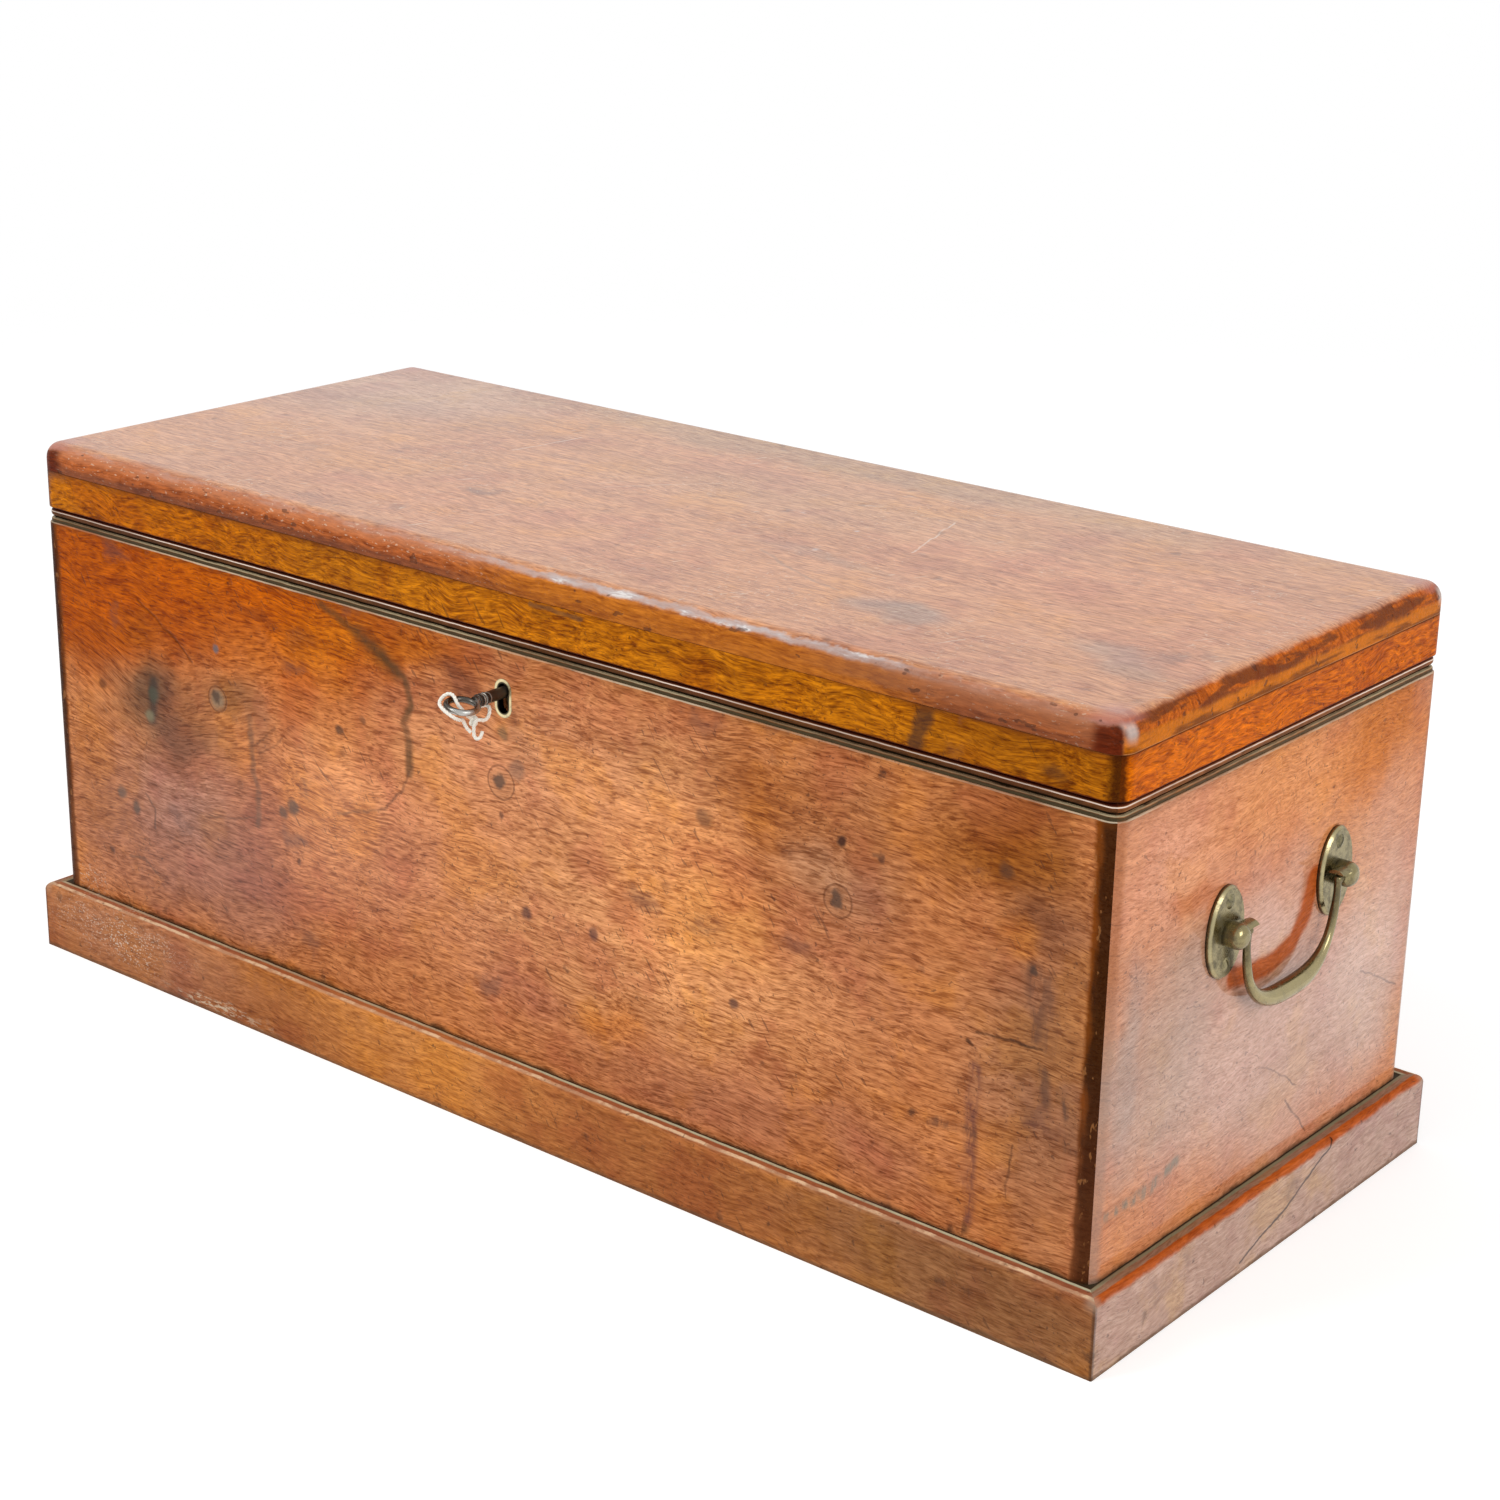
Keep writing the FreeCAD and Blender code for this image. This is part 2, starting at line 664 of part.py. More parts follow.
selvedge_screws, selvedge_bores = screw_group("selvedge_screw", ("0", "link_middle", "rim_top"), selvedge_spread,
                                              facing_up, "lock_screw_length", "lock_screw_radius",
                                              "lock_head_radius")
node(selvedge_screws, "selvedge_screws")
case_shell = cut("case_shell", case_block, case_room)
case_whole = fuse("case_whole", case_shell, selvedge, stump)
node(cut("case_cut", case_whole, thread_hole, eye_slot, selvedge_bores), "lock_case")

# Cap plate inside the board, drill pin and cap screws

cap_spread = []
for x in ("cap_left + cap_ear / 2", "cap_right - cap_ear / 2"):
    for z in ("case_foot - selvedge_foot + cap_ear / 2", "-cap_screw_drop"):
        cap_spread.append((x, "0", z))
cap_screws, cap_bores = screw_group("cap_screw", ("0", "cap_back", "selvedge_foot"), cap_spread, facing_inside,
                                    "lock_screw_length", "lock_screw_radius", "lock_head_radius")
node(cap_screws, "lock_screws")
pin_hole = rod("pin_hole", "drill_pin_radius + pin_play", "cap_thickness + 2 * overrun", "0",
               "cap_front - overrun", "key_level", along_y)
cap_plate = box("cap_plate", ("cap_left", "cap_right"), ("cap_front", "cap_back"), ("case_foot", "selvedge_foot"))
node(cut("cap", cap_plate, pin_hole, cap_bores), "lock_cap")
node(rod("drill", "drill_pin_radius", "cap_back - (case_inside - case_wall)", "0", "case_front", "key_level",
         along_y), "drill_pin")

# Bolt: a bar with a nose, a leg right of the key, a foot under it and a heel left of the bit

bolt_outline = [
    ("nose_tip", "nose_foot"),
    ("eye_right + nose_clear + bolt_throw", "nose_foot"),
    ("eye_right + nose_clear + bolt_throw", "bar_foot"),
    ("leg_left", "bar_foot"),
    ("leg_left", "fork_top"),
    ("heel_right", "fork_top"),
    ("heel_right", "heel_top"),
    ("heel_left", "heel_top"),
    ("heel_left", "fork_foot"),
    ("leg_right", "fork_foot"),
    ("leg_right", "bar_top"),
    ("eye_right + nose_clear + bolt_throw", "bar_top"),
    ("eye_right + nose_clear + bolt_throw", "nose_top"),
    ("nose_tip", "nose_top"),
]
bolt_body = outline_pad("bolt_body", bolt_outline, "bolt_near", "bolt_thickness")
stump_slot = "stump_radius + bolt_play"
bolt_slot = box("bolt_slot", ("stump_offset - (%s)" % stump_slot, "stump_offset + bolt_throw + %s" % stump_slot),
                ("bolt_near - overrun", "bolt_far + overrun"),
                ("bar_middle - (%s)" % stump_slot, "bar_middle + %s" % stump_slot))
node(cut("bolt", bolt_body, bolt_slot), "lock_bolt")

# Leaf spring bowed between the case and the bolt

spring_low = "bar_top + spring_lift"
spring_high = "selvedge_foot - case_wall"
spring_outline = [
    ("stump_offset - spring_half", spring_high),
    ("stump_offset - spring_half / 3", spring_low),
    ("stump_offset + spring_half / 3", spring_low),
    ("stump_offset + spring_half", spring_high),
    ("stump_offset + spring_half - 2 * spring_thickness", spring_high),
    ("stump_offset + spring_half / 4", "%s + spring_thickness" % spring_low),
    ("stump_offset - spring_half / 4", "%s + spring_thickness" % spring_low),
    ("stump_offset - spring_half + 2 * spring_thickness", spring_high),
]
node(outline_pad("spring", spring_outline, "bolt_near", "bolt_thickness"), "bolt_spring")

# Front board and front rim, cut for the lock

lock_seat = box("lock_seat", ("case_left", "case_right"), ("case_front", "cap_back + overrun"),
                ("case_foot", "rim_top + overrun"))
cap_seat = box("cap_seat", ("cap_left", "cap_right"), ("cap_front", "cap_back + overrun"),
               ("case_foot", "rim_top + overrun"))
selvedge_seat = box("selvedge_seat", ("selvedge_left", "selvedge_right"), ("case_front", "cap_back + overrun"),
                    ("selvedge_foot", "rim_top + overrun"))
lock_cut = fuse("lock_cut", lock_seat, cap_seat, selvedge_seat, thread_seat, thread_hole, selvedge_bores, cap_bores)
node(cut("front_board_cut", boards["front"], lock_cut), "front_board")
node(cut("rim_front_cut", rims["front"], lock_cut), "rim_bead_front")
for side in ("left", "right"):
    node(rims[side], "rim_bead_" + side)
    node(rails[side], "lid_%s_rail" % side)

# Link plate under the lid's front rail, with the staple that the bolt catches let through it

link_plate = box("link_strip", ("-link_length / 2", "link_length / 2"), ("link_near", "link_far"),
                 ("lid_foot", "lid_foot + link_thickness"))
eye = box("eye", ("eye_left", "eye_right"), ("eye_near", "eye_far"), ("eye_foot", "lid_foot + link_thickness"))
eye_hole = box("eye_hole", ("eye_left - overrun", "eye_right + overrun"),
               ("bolt_near - eye_play", "bolt_far + eye_play"), ("nose_foot - eye_play", "nose_top + eye_play"))
link_spread = [("-link_screw_spread", "0", "0"), ("link_screw_spread", "0", "0")]
link_screws, link_bores = screw_group("link_screw", ("0", "link_middle", "lid_foot"), link_spread, facing_down,
                                      "link_screw_length", "lock_screw_radius", "lock_head_radius")
node(link_screws, "link_plate_screws")
node(cut("staple", eye, eye_hole), "link_staple")
node(cut("link", link_plate, eye, link_bores), "link_plate")
link_seat = box("link_seat", ("-link_length / 2", "link_length / 2"), ("link_near", "link_far"),
                ("lid_foot - overrun", "lid_foot + link_thickness"))
node(cut("lid_front_cut", rails["front"], link_seat, link_bores), "lid_front_rail")

# Key, made along +Z from its tip side outwards and then turned to point out of the front

key_in = "cap_front - front_face - tip_clear"
shank = rod("shank", "shank_radius", "%s + shank_out" % key_in, "0", "0", "-(%s)" % key_in)
neck = rod("neck", "neck_radius", "neck_length", "0", "0", "shank_out")
neck_rings = []
for count in range(3):
    ring = doc.addObject("Part::Torus", "neck_ring")
    bind(ring, Radius1="neck_radius", Radius2="ring_thickness / 2")
    neck_rings.append(place(ring, "0", "0", "shank_out + %d * ring_pitch" % (count + 1)))
bow = doc.addObject("Part::Torus", "bow")
bind(bow, Radius1="(bow_diameter - bow_wire) / 2", Radius2="bow_wire / 2")
place(bow, "0", "0", "shank_out + neck_length + bow_diameter / 2 - bow_sink", ((1, 0, 0), 90))
bit_near = "case_inside + bit_inset - front_face"
bit_plate = box("bit_plate", ("0", "bit_radius"), ("-bit_thickness / 2", "bit_thickness / 2"),
                ("-(%s + bit_width)" % bit_near, "-(%s)" % bit_near))
ward = box("ward", ("bit_radius - ward_depth", "bit_radius + overrun"), ("-bit_thickness", "bit_thickness"),
           ("-(%s + bit_width / 2 + ward_width / 2)" % bit_near, "-(%s + bit_width / 2 - ward_width / 2)" % bit_near))
key_bore = rod("key_bore", "drill_pin_radius + bail_play", "key_bore_depth + overrun", "0", "0",
               "-(%s + overrun)" % key_in)
key_whole = fuse("key_whole", shank, neck, *neck_rings, bow, cut("bit", bit_plate, ward))
key = cut("key_cut", key_whole, key_bore)
key.Placement = Placement(Vector(), Rotation(Vector(0, 1, 0), number("key_tilt")) * Rotation(Vector(1, 0, 0), 90))
for axis, text in (("x", "0"), ("y", "front_face"), ("z", "key_level")):
    key.setExpression("Placement.Base." + axis, cells(text))
node(key, "key")

# Handles: backplates with bosses, screws and a bail, made about the end board's face and turned to each end

handle_turns = {"right": (1, 0), "left": (-1, 180)}


def at_end(item, side):
    sign, angle = handle_turns[side]
    item.Placement = Placement(Vector(), Rotation(Vector(0, 0, 1), angle))
    item.setExpression("Placement.Base.x", cells("%d * half_length" % sign))
    item.setExpression("Placement.Base.z", cells("handle_level"))
    return item


def backplate(name, hand):
    """An oval plate with a round boss, a bored socket and a hood over the end of the bail."""
    middle = "%d * boss_half" % hand
    oval = doc.addObject("Part::Ellipse", name + "_oval")
    bind(oval, MajorRadius="plate_height / 2", MinorRadius="plate_width / 2")
    oval.Placement = Placement(Vector(), Rotation(Vector(0, 1, 0), -90))
    slab = doc.addObject("Part::Extrusion", name + "_slab")
    slab.Base = oval
    slab.DirMode = "Custom"
    slab.Dir = Vector(1, 0, 0)
    slab.Solid = True
    bind(slab, LengthFwd="plate_thickness")
    doc.recompute()
    outer = [count for count, edge in enumerate(slab.Shape.Edges, 1)
             if edge.BoundBox.XMin > number("plate_thickness / 2")]
    plate = doc.addObject("Part::Chamfer", name + "_plate")
    plate.Base = slab
    plate.Edges = [(count, number("plate_bevel"), number("plate_bevel")) for count in outer]
    bind(plate, Placement_at_Base_at_y=middle)
    post = rod(name + "_post", "boss_radius", "boss_end", "0", middle, "0", along_x)
    doc.recompute()
    rounded = doc.addObject("Part::Fillet", name + "_boss")
    rounded.Base = post
    tip = [count for count, edge in enumerate(post.Shape.Edges, 1)
           if edge.BoundBox.XMin > number("boss_end / 2") and edge.BoundBox.XLength < number("boss_end / 2")]
    rounded.Edges = [(count, number("boss_round"), number("boss_round")) for count in tip]
    hood_span = ("boss_half - hood_reach", "boss_half") if hand > 0 else ("-boss_half", "hood_reach - boss_half")
    hood_tube = rod(name + "_hood_tube", "hood_radius", "hood_reach", "pivot_stand", hood_span[0], "0", along_y)
    hood_hole = rod(name + "_hood_hole", "hood_bore", "arm_gap + boss_radius", "pivot_stand",
                    "boss_half - hood_reach - overrun" if hand > 0 else "-boss_half + hood_reach + overrun"
                    " - arm_gap - boss_radius", "0", along_y)
    hood_half = box(name + "_hood_half", ("0", "pivot_stand + 2 * hood_radius"), hood_span,
                    ("hood_lift", "2 * hood_radius"))
    hood = cut(name + "_hood", common(name + "_hood_upper", hood_tube, hood_half), hood_hole)
    socket_start = "arm_half" if hand > 0 else "-arm_half - bail_pin_reach - bail_play"
    socket = rod(name + "_socket", "bail_end_radius + bail_play", "bail_pin_reach + bail_play", "pivot_stand",
                 socket_start, "0", along_y)
    return fuse(name + "_body", plate, rounded, hood), socket


def bail_centre(share):
    """A point of the bail's centre line, from one arm over the belly to the other."""
    angle = math.pi * share
    power = 2 / bail_power_share
    side = math.copysign(abs(math.cos(angle)) ** power, math.cos(angle))
    return Vector(number("pivot_stand"), number("arm_half") * side, -number("bail_drop") * math.sin(angle) ** power)


def bail_shape():
    thin = number("bail_end_radius")
    thick = number("bail_belly_radius")
    rings = []
    for count in range(bail_sections):
        share = count / (bail_sections - 1)
        middle = bail_centre(share)
        ahead = bail_centre(min(share + 1 / 200, 1))
        behind = bail_centre(max(share - 1 / 200, 0))
        heading = ahead - behind
        lean = math.atan2(-heading.y, heading.z)
        if count in (0, bail_sections - 1):
            lean = 0 if count else math.pi
        swell = math.sin(math.pi * share) ** bail_swell_share
        ring = Part.makeCircle(thin + (thick - thin) * swell)
        ring.Placement = Placement(middle, Rotation(Vector(1, 0, 0), math.degrees(lean)))
        rings.append(Part.Wire([ring]))
    shape = Part.makeLoft(rings, True, False)
    pieces = []
    for hand in (-1, 1):
        top = bail_centre(0 if hand > 0 else 1)
        pieces.append(Part.makeSphere(number("bail_elbow_radius"), top))
        pieces.append(Part.makeCylinder(thin, number("bail_pin_reach"), top, Vector(0, hand, 0)))
    return shape.multiFuse(pieces).removeSplitter()


end_boards = {}
for side, (sign, angle) in handle_turns.items():
    for hand in (-1, 1):
        where = "front" if hand * sign < 0 else "rear"
        name = "%s_handle_%s_plate" % (side, where)
        body, socket = backplate(name, hand)
        spread = [("0", "0", "%d * plate_screw_offset" % step) for step in (-1, 1)]
        middle = ("plate_thickness", "%d * boss_half" % hand, "0")
        screws, bores = screw_group(name + "_screw", middle, spread, facing_right, "plate_screw_length",
                                    "plate_screw_radius", "plate_head_radius")
        node(at_end(cut(name + "_cut", body, socket, bores), side), name)
        node(at_end(gathered(name + "_screws", screws), side), "%s_handle_%s_screws" % (side, where))
        end_boards.setdefault(side, []).append(at_end(gathered(name + "_board_bores", bores), side))
    node(at_end(solid(side + "_bail_solid", bail_shape()), side), side + "_bail")
    node(cut(side + "_end_cut", boards[side], *end_boards[side]), side + "_end_board")

# String on the key: a route of chosen points about the keyhole, across, outwards and up

string_route = [
    (4.2, 19.0, -14.4),
    (4.5, 19.8, -16.6),
    (3.0, 20.8, -18.3),
    (1.1, 21.4, -17.5),
    (0.9, 21.6, -14.4),
    (1.1, 21.4, -10.2),
    (2.0, 19.2, -8.6),
    (2.9, 16.0, -10.1),
    (3.2, 13.0, -8.3),
    (1.5, 10.6, -4.3),
    (-3.2, 9.8, -4.6),
    (-5.0, 13.6, -6.0),
    (-2.6, 18.4, -9.4),
    (-0.8, 23.2, -7.2),
    (0.4, 27.6, -2.8),
    (0.4, 31.6, 1.3),
    (-4.6, 29.4, 5.3),
    (-10.0, 29.2, 4.4),
    (-8.1, 36.4, 2.2),
    (-1.9, 39.7, 0.7),
    (4.5, 39.1, -2.0),
    (4.6, 34.6, -4.8),
    (2.5, 30.4, -5.7),
    (1.4, 28.0, -9.5),
    (2.2, 26.6, -12.1),
    (3.4, 25.9, -13.2),
]


def string_points():
    return [Vector(x, number("front_face") - out, number("key_level") + up) for x, out, up in string_route]


def string_tube(points, radius):
    """Straight runs joined by tangent arcs, swept by a round section."""
    edges = []
    length = 0
    begin = points[0]
    radii = []
    for here in range(1, len(points) - 1):
        back = points[here - 1] - points[here]
        onward = points[here + 1] - points[here]
        turn = math.pi - back.getAngle(onward)
        run = min(back.Length, onward.Length)
        bend = arc_share * run / math.tan(turn / 2)
        step = arc_share * run
        back.normalize()
        onward.normalize()
        enter = points[here] + back * step
        leave = points[here] + onward * step
        middle_way = (back + onward).normalize()
        centre = points[here] + middle_way * (bend / math.cos(turn / 2))
        mid = centre - middle_way * bend
        edges.append(Part.LineSegment(begin, enter).toShape())
        edges.append(Part.Arc(enter, mid, leave).toShape())
        length += (enter - begin).Length + bend * turn
        begin = leave
        radii.append((round(bend, 2), round(math.degrees(turn))))
    edges.append(Part.LineSegment(begin, points[-1]).toShape())
    length += (points[-1] - begin).Length
    path = Part.Wire(edges)
    heading = (points[1] - points[0]).normalize()
    section = Part.Wire([Part.makeCircle(radius, points[0], heading)])
    tube = path.makePipeShell([section], True, False, 2)
    print("string: length %.1f mm, volume %.1f, section times length %.1f" %
          (length, tube.Volume, math.pi * radius ** 2 * length))
    print("string: radius and turn at each point", radii)
    return tube


route = string_points()
string_solid = string_tube(route, number("string_diameter / 2"))
node(solid("string_solid", string_solid), "key_string")
knot_place = (route[5] + route[12]) / 2
knot = Part.makeSphere(number("knot_radius"), knot_place)
node(solid("knot_solid", knot), "string_knot")

# Checks, then one file for each sub-part

doc.recompute()
faults = [item.Label for item in doc.Objects if "Invalid" in item.State or "Error" in item.State]
for item in nodes:
    if item.Shape.isNull() or not item.Shape.isValid() or not item.Shape.Solids:
        faults.append(item.Label)
if faults:
    raise RuntimeError("failed: " + ", ".join(faults))
labels = [item.Label for item in nodes]
if len(set(labels)) != len(labels):
    raise RuntimeError("two sub-parts share a label")
for item in nodes:
    item.Shape.exportStep("parts/%s.step" % item.Label)
print(len(nodes), "sub-parts written")
for item in sorted(nodes, key=lambda item: item.Label):
    print("%-32s solids %d  volume %10.1f" % (item.Label, len(item.Shape.Solids), item.Shape.Volume))
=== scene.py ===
import bpy, bmesh, json, math
from mathutils import Matrix, Vector


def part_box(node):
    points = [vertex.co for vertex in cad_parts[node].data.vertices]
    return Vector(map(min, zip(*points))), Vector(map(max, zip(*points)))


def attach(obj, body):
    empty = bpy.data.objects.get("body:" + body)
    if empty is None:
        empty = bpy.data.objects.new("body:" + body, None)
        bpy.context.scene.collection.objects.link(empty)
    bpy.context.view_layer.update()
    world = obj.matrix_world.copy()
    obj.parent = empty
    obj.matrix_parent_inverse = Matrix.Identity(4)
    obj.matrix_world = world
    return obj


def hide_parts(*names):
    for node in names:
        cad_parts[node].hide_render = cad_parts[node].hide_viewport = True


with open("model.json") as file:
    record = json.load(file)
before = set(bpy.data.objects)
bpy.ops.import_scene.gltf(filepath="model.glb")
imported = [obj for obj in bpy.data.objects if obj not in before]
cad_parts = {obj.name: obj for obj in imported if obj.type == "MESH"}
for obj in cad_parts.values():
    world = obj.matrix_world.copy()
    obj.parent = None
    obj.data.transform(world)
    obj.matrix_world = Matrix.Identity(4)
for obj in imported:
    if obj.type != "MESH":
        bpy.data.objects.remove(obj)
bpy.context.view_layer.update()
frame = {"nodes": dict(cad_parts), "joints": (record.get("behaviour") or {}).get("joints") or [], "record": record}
nodes = frame["nodes"]
print("box: frame loaded with", len(nodes), "nodes")

# places on the box that patterns and pieces are set out from
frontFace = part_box("front_board")[0].y
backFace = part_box("back_board")[1].y
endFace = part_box("right_end_board")[1].x
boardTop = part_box("front_board")[1].z
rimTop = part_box("rim_bead_front")[1].z
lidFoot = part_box("lid_front_rail")[0].z
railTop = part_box("lid_front_rail")[1].z
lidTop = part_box("lid_top_board")[1].z
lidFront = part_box("lid_top_board")[0].y
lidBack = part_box("lid_top_board")[1].y
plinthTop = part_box("plinth_front")[1].z
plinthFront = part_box("plinth_front")[0].y
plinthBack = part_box("plinth_back")[1].y
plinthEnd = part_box("plinth_right")[1].x
boardDeep = 0.018                               # how thick the boards and the lid's rails are
plinthDeep = 0.0096                             # how far the plinth stands out from the carcase
plinthMiddle, plinthHalf = (plinthFront + plinthBack) / 2, (plinthBack - plinthFront) / 2
lidEnd = endFace + 0.0005                       # the lid's end, just beyond the carcase's
lidMiddle, lidHalf = (lidFront + lidBack) / 2, (lidBack - lidFront) / 2
bailOut = abs(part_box("right_bail")[0].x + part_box("right_bail")[1].x) / 2
keyAxis = Vector(next(joint for joint in frame["joints"] if joint["name"] == "key_turn")["pos_m"])

# camera, as the photograph was taken
camera = {
    "lens": 70.29,                              # on a 36 mm sensor
    "place": (0.9546, -1.1090, 0.6903),
    "across": (0.77125, 0.63628, 0.01779),
    "up": (-0.22532, 0.24677, 0.94252),
    "back": (0.59531, -0.73093, 0.33369),
}
cameraData = bpy.data.cameras.new("boxCamera")
cameraData.lens = camera["lens"]
cameraData.sensor_width = 36
cameraData.clip_start, cameraData.clip_end = 0.02, 60
cameraObject = bpy.data.objects.new("boxCamera", cameraData)
bpy.context.scene.collection.objects.link(cameraObject)
cameraTurn = Matrix((camera["across"], camera["up"], camera["back"])).transposed()
cameraObject.matrix_world = Matrix.Translation(camera["place"]) @ cameraTurn.to_4x4()
bpy.context.scene.camera = cameraObject
print("box: camera set")


def paint(colour):                              # 0 to 255 as seen, to a linear colour
    return tuple(((c + 0.055) / 1.055) ** 2.4 if c > 0.04045 else c / 12.92
                 for c in (level / 255 for level in colour)) + (1,)


def metres(values):                             # from millimetres
    return tuple(value / 1000 for value in values)


# wiring: a socket that can be added, multiplied and so on, and the tree it sits in
class Wire:
    def __init__(self, tree, socket):
        self.tree, self.socket = tree, socket

    def maths(self, operation, *values):
        return wire(self.tree, "ShaderNodeMath", {"operation": operation}, dict(enumerate(values)))

    def __rsub__(self, other):
        return self.maths("SUBTRACT", other, self)

    def part(self, output):                     # another output of the same node
        return Wire(self.tree, self.socket.node.outputs[output])

    def rise(self, low, high, **ends):          # 0 below low, 1 above high, smooth between
        return wire(self.tree, "ShaderNodeMapRange", {"interpolation_type": "SMOOTHSTEP"},
                    {"Value": self, "From Min": low, "From Max": high, **ends})

    def fall(self, low, high):
        return self.rise(low, high, **{"To Min": 1.0, "To Max": 0.0})

    def band(self, low, full, less, none):      # rises from low to full, falls from less to none
        return self.rise(low, full) * self.fall(less, none)


def addMaths(name, operation):
    setattr(Wire, name, lambda self, *others: self.maths(operation, self, *others))


for name, operation in {"__add__": "ADD", "__radd__": "ADD", "__sub__": "SUBTRACT", "__mul__": "MULTIPLY",
                        "__rmul__": "MULTIPLY", "__truediv__": "DIVIDE", "__abs__": "ABSOLUTE",
                        "least": "MINIMUM", "most": "MAXIMUM", "sine": "SINE", "cosine": "COSINE",
                        "exponent": "EXPONENT"}.items():
    addMaths(name, operation)


def wire(tree, kind, settings=None, sockets=None, output=0):
    node = tree.nodes.new(kind)
    for name, value in (settings or {}).items():
        setattr(node, name, value)
    for name, value in (sockets or {}).items():
        if isinstance(value, Wire):
            tree.links.new(value.socket, node.inputs[name])
        else:
            node.inputs[name].default_value = value
    return Wire(tree, node.outputs[output])


def vector(operation, first, *others, output=0):
    return wire(first.tree, "ShaderNodeVectorMath", {"operation": operation},
                dict(enumerate((first,) + others)), output)


def scaled(first, scale):
    return wire(scale.tree, "ShaderNodeVectorMath", {"operation": "SCALE"}, {0: first, "Scale": scale})


def output(tree, kind, made):                   # the node that a tree ends in
    tree.links.new(made.socket, tree.nodes.new(kind).inputs[0])


def seenRays(tree):                             # 1 where the camera looks, directly or in a reflection
    path = wire(tree, "ShaderNodeLightPath")
    return path.most(path.part("Is Glossy Ray")).most(path.part("Is Transmission Ray"))


def blend(share, first, second, how="MIX"):     # colours of three numbers are 0 to 255
    tree = next(item.tree for item in (share, first, second) if isinstance(item, Wire))
    first, second = (paint(item) if isinstance(item, tuple) and len(item) == 3 else item
                     for item in (first, second))
    return wire(tree, "ShaderNodeMix", {"data_type": "RGBA", "blend_type": how},
                {0: share, 6: first, 7: second}, 2)


def noise(place, stretch, detail=3, rough=0.55, output=0):
    return wire(place.tree, "ShaderNodeTexNoise", {},
                {"Vector": vector("MULTIPLY", place, stretch), "Scale": 1.0, "Detail": detail,
                 "Roughness": rough}, output)


# a finish in the making: colour, roughness, haze and height that later steps change
class Finish:
    def __init__(self, name, rough=0.5, metal=0.0, shine=0.5, haze=0.0, hazeRough=0.16, hazeIndex=1.5):
        self.material = bpy.data.materials.new(name)
        self.material.use_nodes = True
        self.tree = self.material.node_tree
        self.tree.nodes.clear()
        self.place = wire(self.tree, "ShaderNodeTexCoord", output=3)
        self.x = wire(self.tree, "ShaderNodeSeparateXYZ", sockets={0: self.place})
        self.y, self.z = self.x.part(1), self.x.part(2)
        self.rough, self.metal, self.haze, self.height = rough, metal, haze, 0.0
        self.fixed = {"Specular IOR Level": shine, "Coat Roughness": hazeRough, "Coat IOR": hazeIndex}
        if not metal:
            self.fixed["Specular Tint"] = (1.0, 0.60, 0.25, 1)

    def noise(self, stretch, detail=3, rough=0.55):
        return noise(self.place, stretch, detail, rough)

    def stray(self, pitch, reach, detail=3):
        return stray(self.place, pitch, reach, detail)

    def tint(self, share, colour, how="MIX"):
        self.colour = blend(share, self.colour, colour, how)

    def close(self, reach=0.0006, strength=0.6):
        bump = wire(self.tree, "ShaderNodeBump", {},
                    {"Strength": strength, "Distance": reach, "Height": self.height})
        shader = wire(self.tree, "ShaderNodeBsdfPrincipled", {},
                      {"Base Color": self.colour, "Roughness": self.rough, "Metallic": self.metal,
                       "Coat Weight": self.haze, "Normal": bump, **self.fixed})
        output(self.tree, "ShaderNodeOutputMaterial", shader)
        return self.material


# shapes drawn on a face: plane names its two directions, as "xz" for the front; sizes in millimetres
def onPlane(plane, first, second):
    values = {"x": 0, "y": 0, "z": 0, plane[0]: first, plane[1]: second}
    return tuple(values.values())


def cloud(place, plane, middle, half, inner=0.2):
    middle, half = metres(middle), metres(half)
    inverse = onPlane(plane, 1 / half[0], 1 / half[1])
    offset = onPlane(plane, -middle[0] / half[0], -middle[1] / half[1])
    return vector("LENGTH", vector("MULTIPLY_ADD", place, inverse, offset), output=1).fall(inner, 1.0)


def fromPoint(place, plane, point):
    return vector("MULTIPLY_ADD", place, onPlane(plane, 1, 1), onPlane(plane, -point[0], -point[1]))


def away(place, plane, line):                   # distance to a bent line on the face, in metres
    nearest = None
    line = [metres(point) for point in line]
    for start, stop in zip(line, line[1:]):
        run = Vector(onPlane(plane, stop[0] - start[0], stop[1] - start[1]))
        lead = fromPoint(place, plane, start)
        share = vector("DOT_PRODUCT", lead, tuple(run / run.length_squared), output=1).most(0).least(1)
        gap = vector("DISTANCE", lead, scaled(tuple(run), share), output=1)
        nearest = gap if nearest is None else nearest.least(gap)
    return nearest


def stray(place, pitch, reach, detail=3):       # a place moved about by noise of that pitch
    shake = noise(place, (pitch, pitch, pitch), detail, 0.58, output=1)
    return vector("MULTIPLY_ADD", vector("SUBTRACT", shake, (0.5, 0.5, 0.5)), (reach, reach, reach), place)


# what a look has when its own dictionary says nothing else
usual = {
    "shine": 0.06, "haze": 0.0, "hazeRough": 0.16, "hazeIndex": 1.5, "fine": 1.15, "shift": (0.0, 0.0, 0.0),
    "ripple": 0.009, "plane": "xz", "drift": 0.8, "dashFrom": 0.58, "patches": (), "lines": (), "stains": (),
    "spots": (), "plugs": (),
}


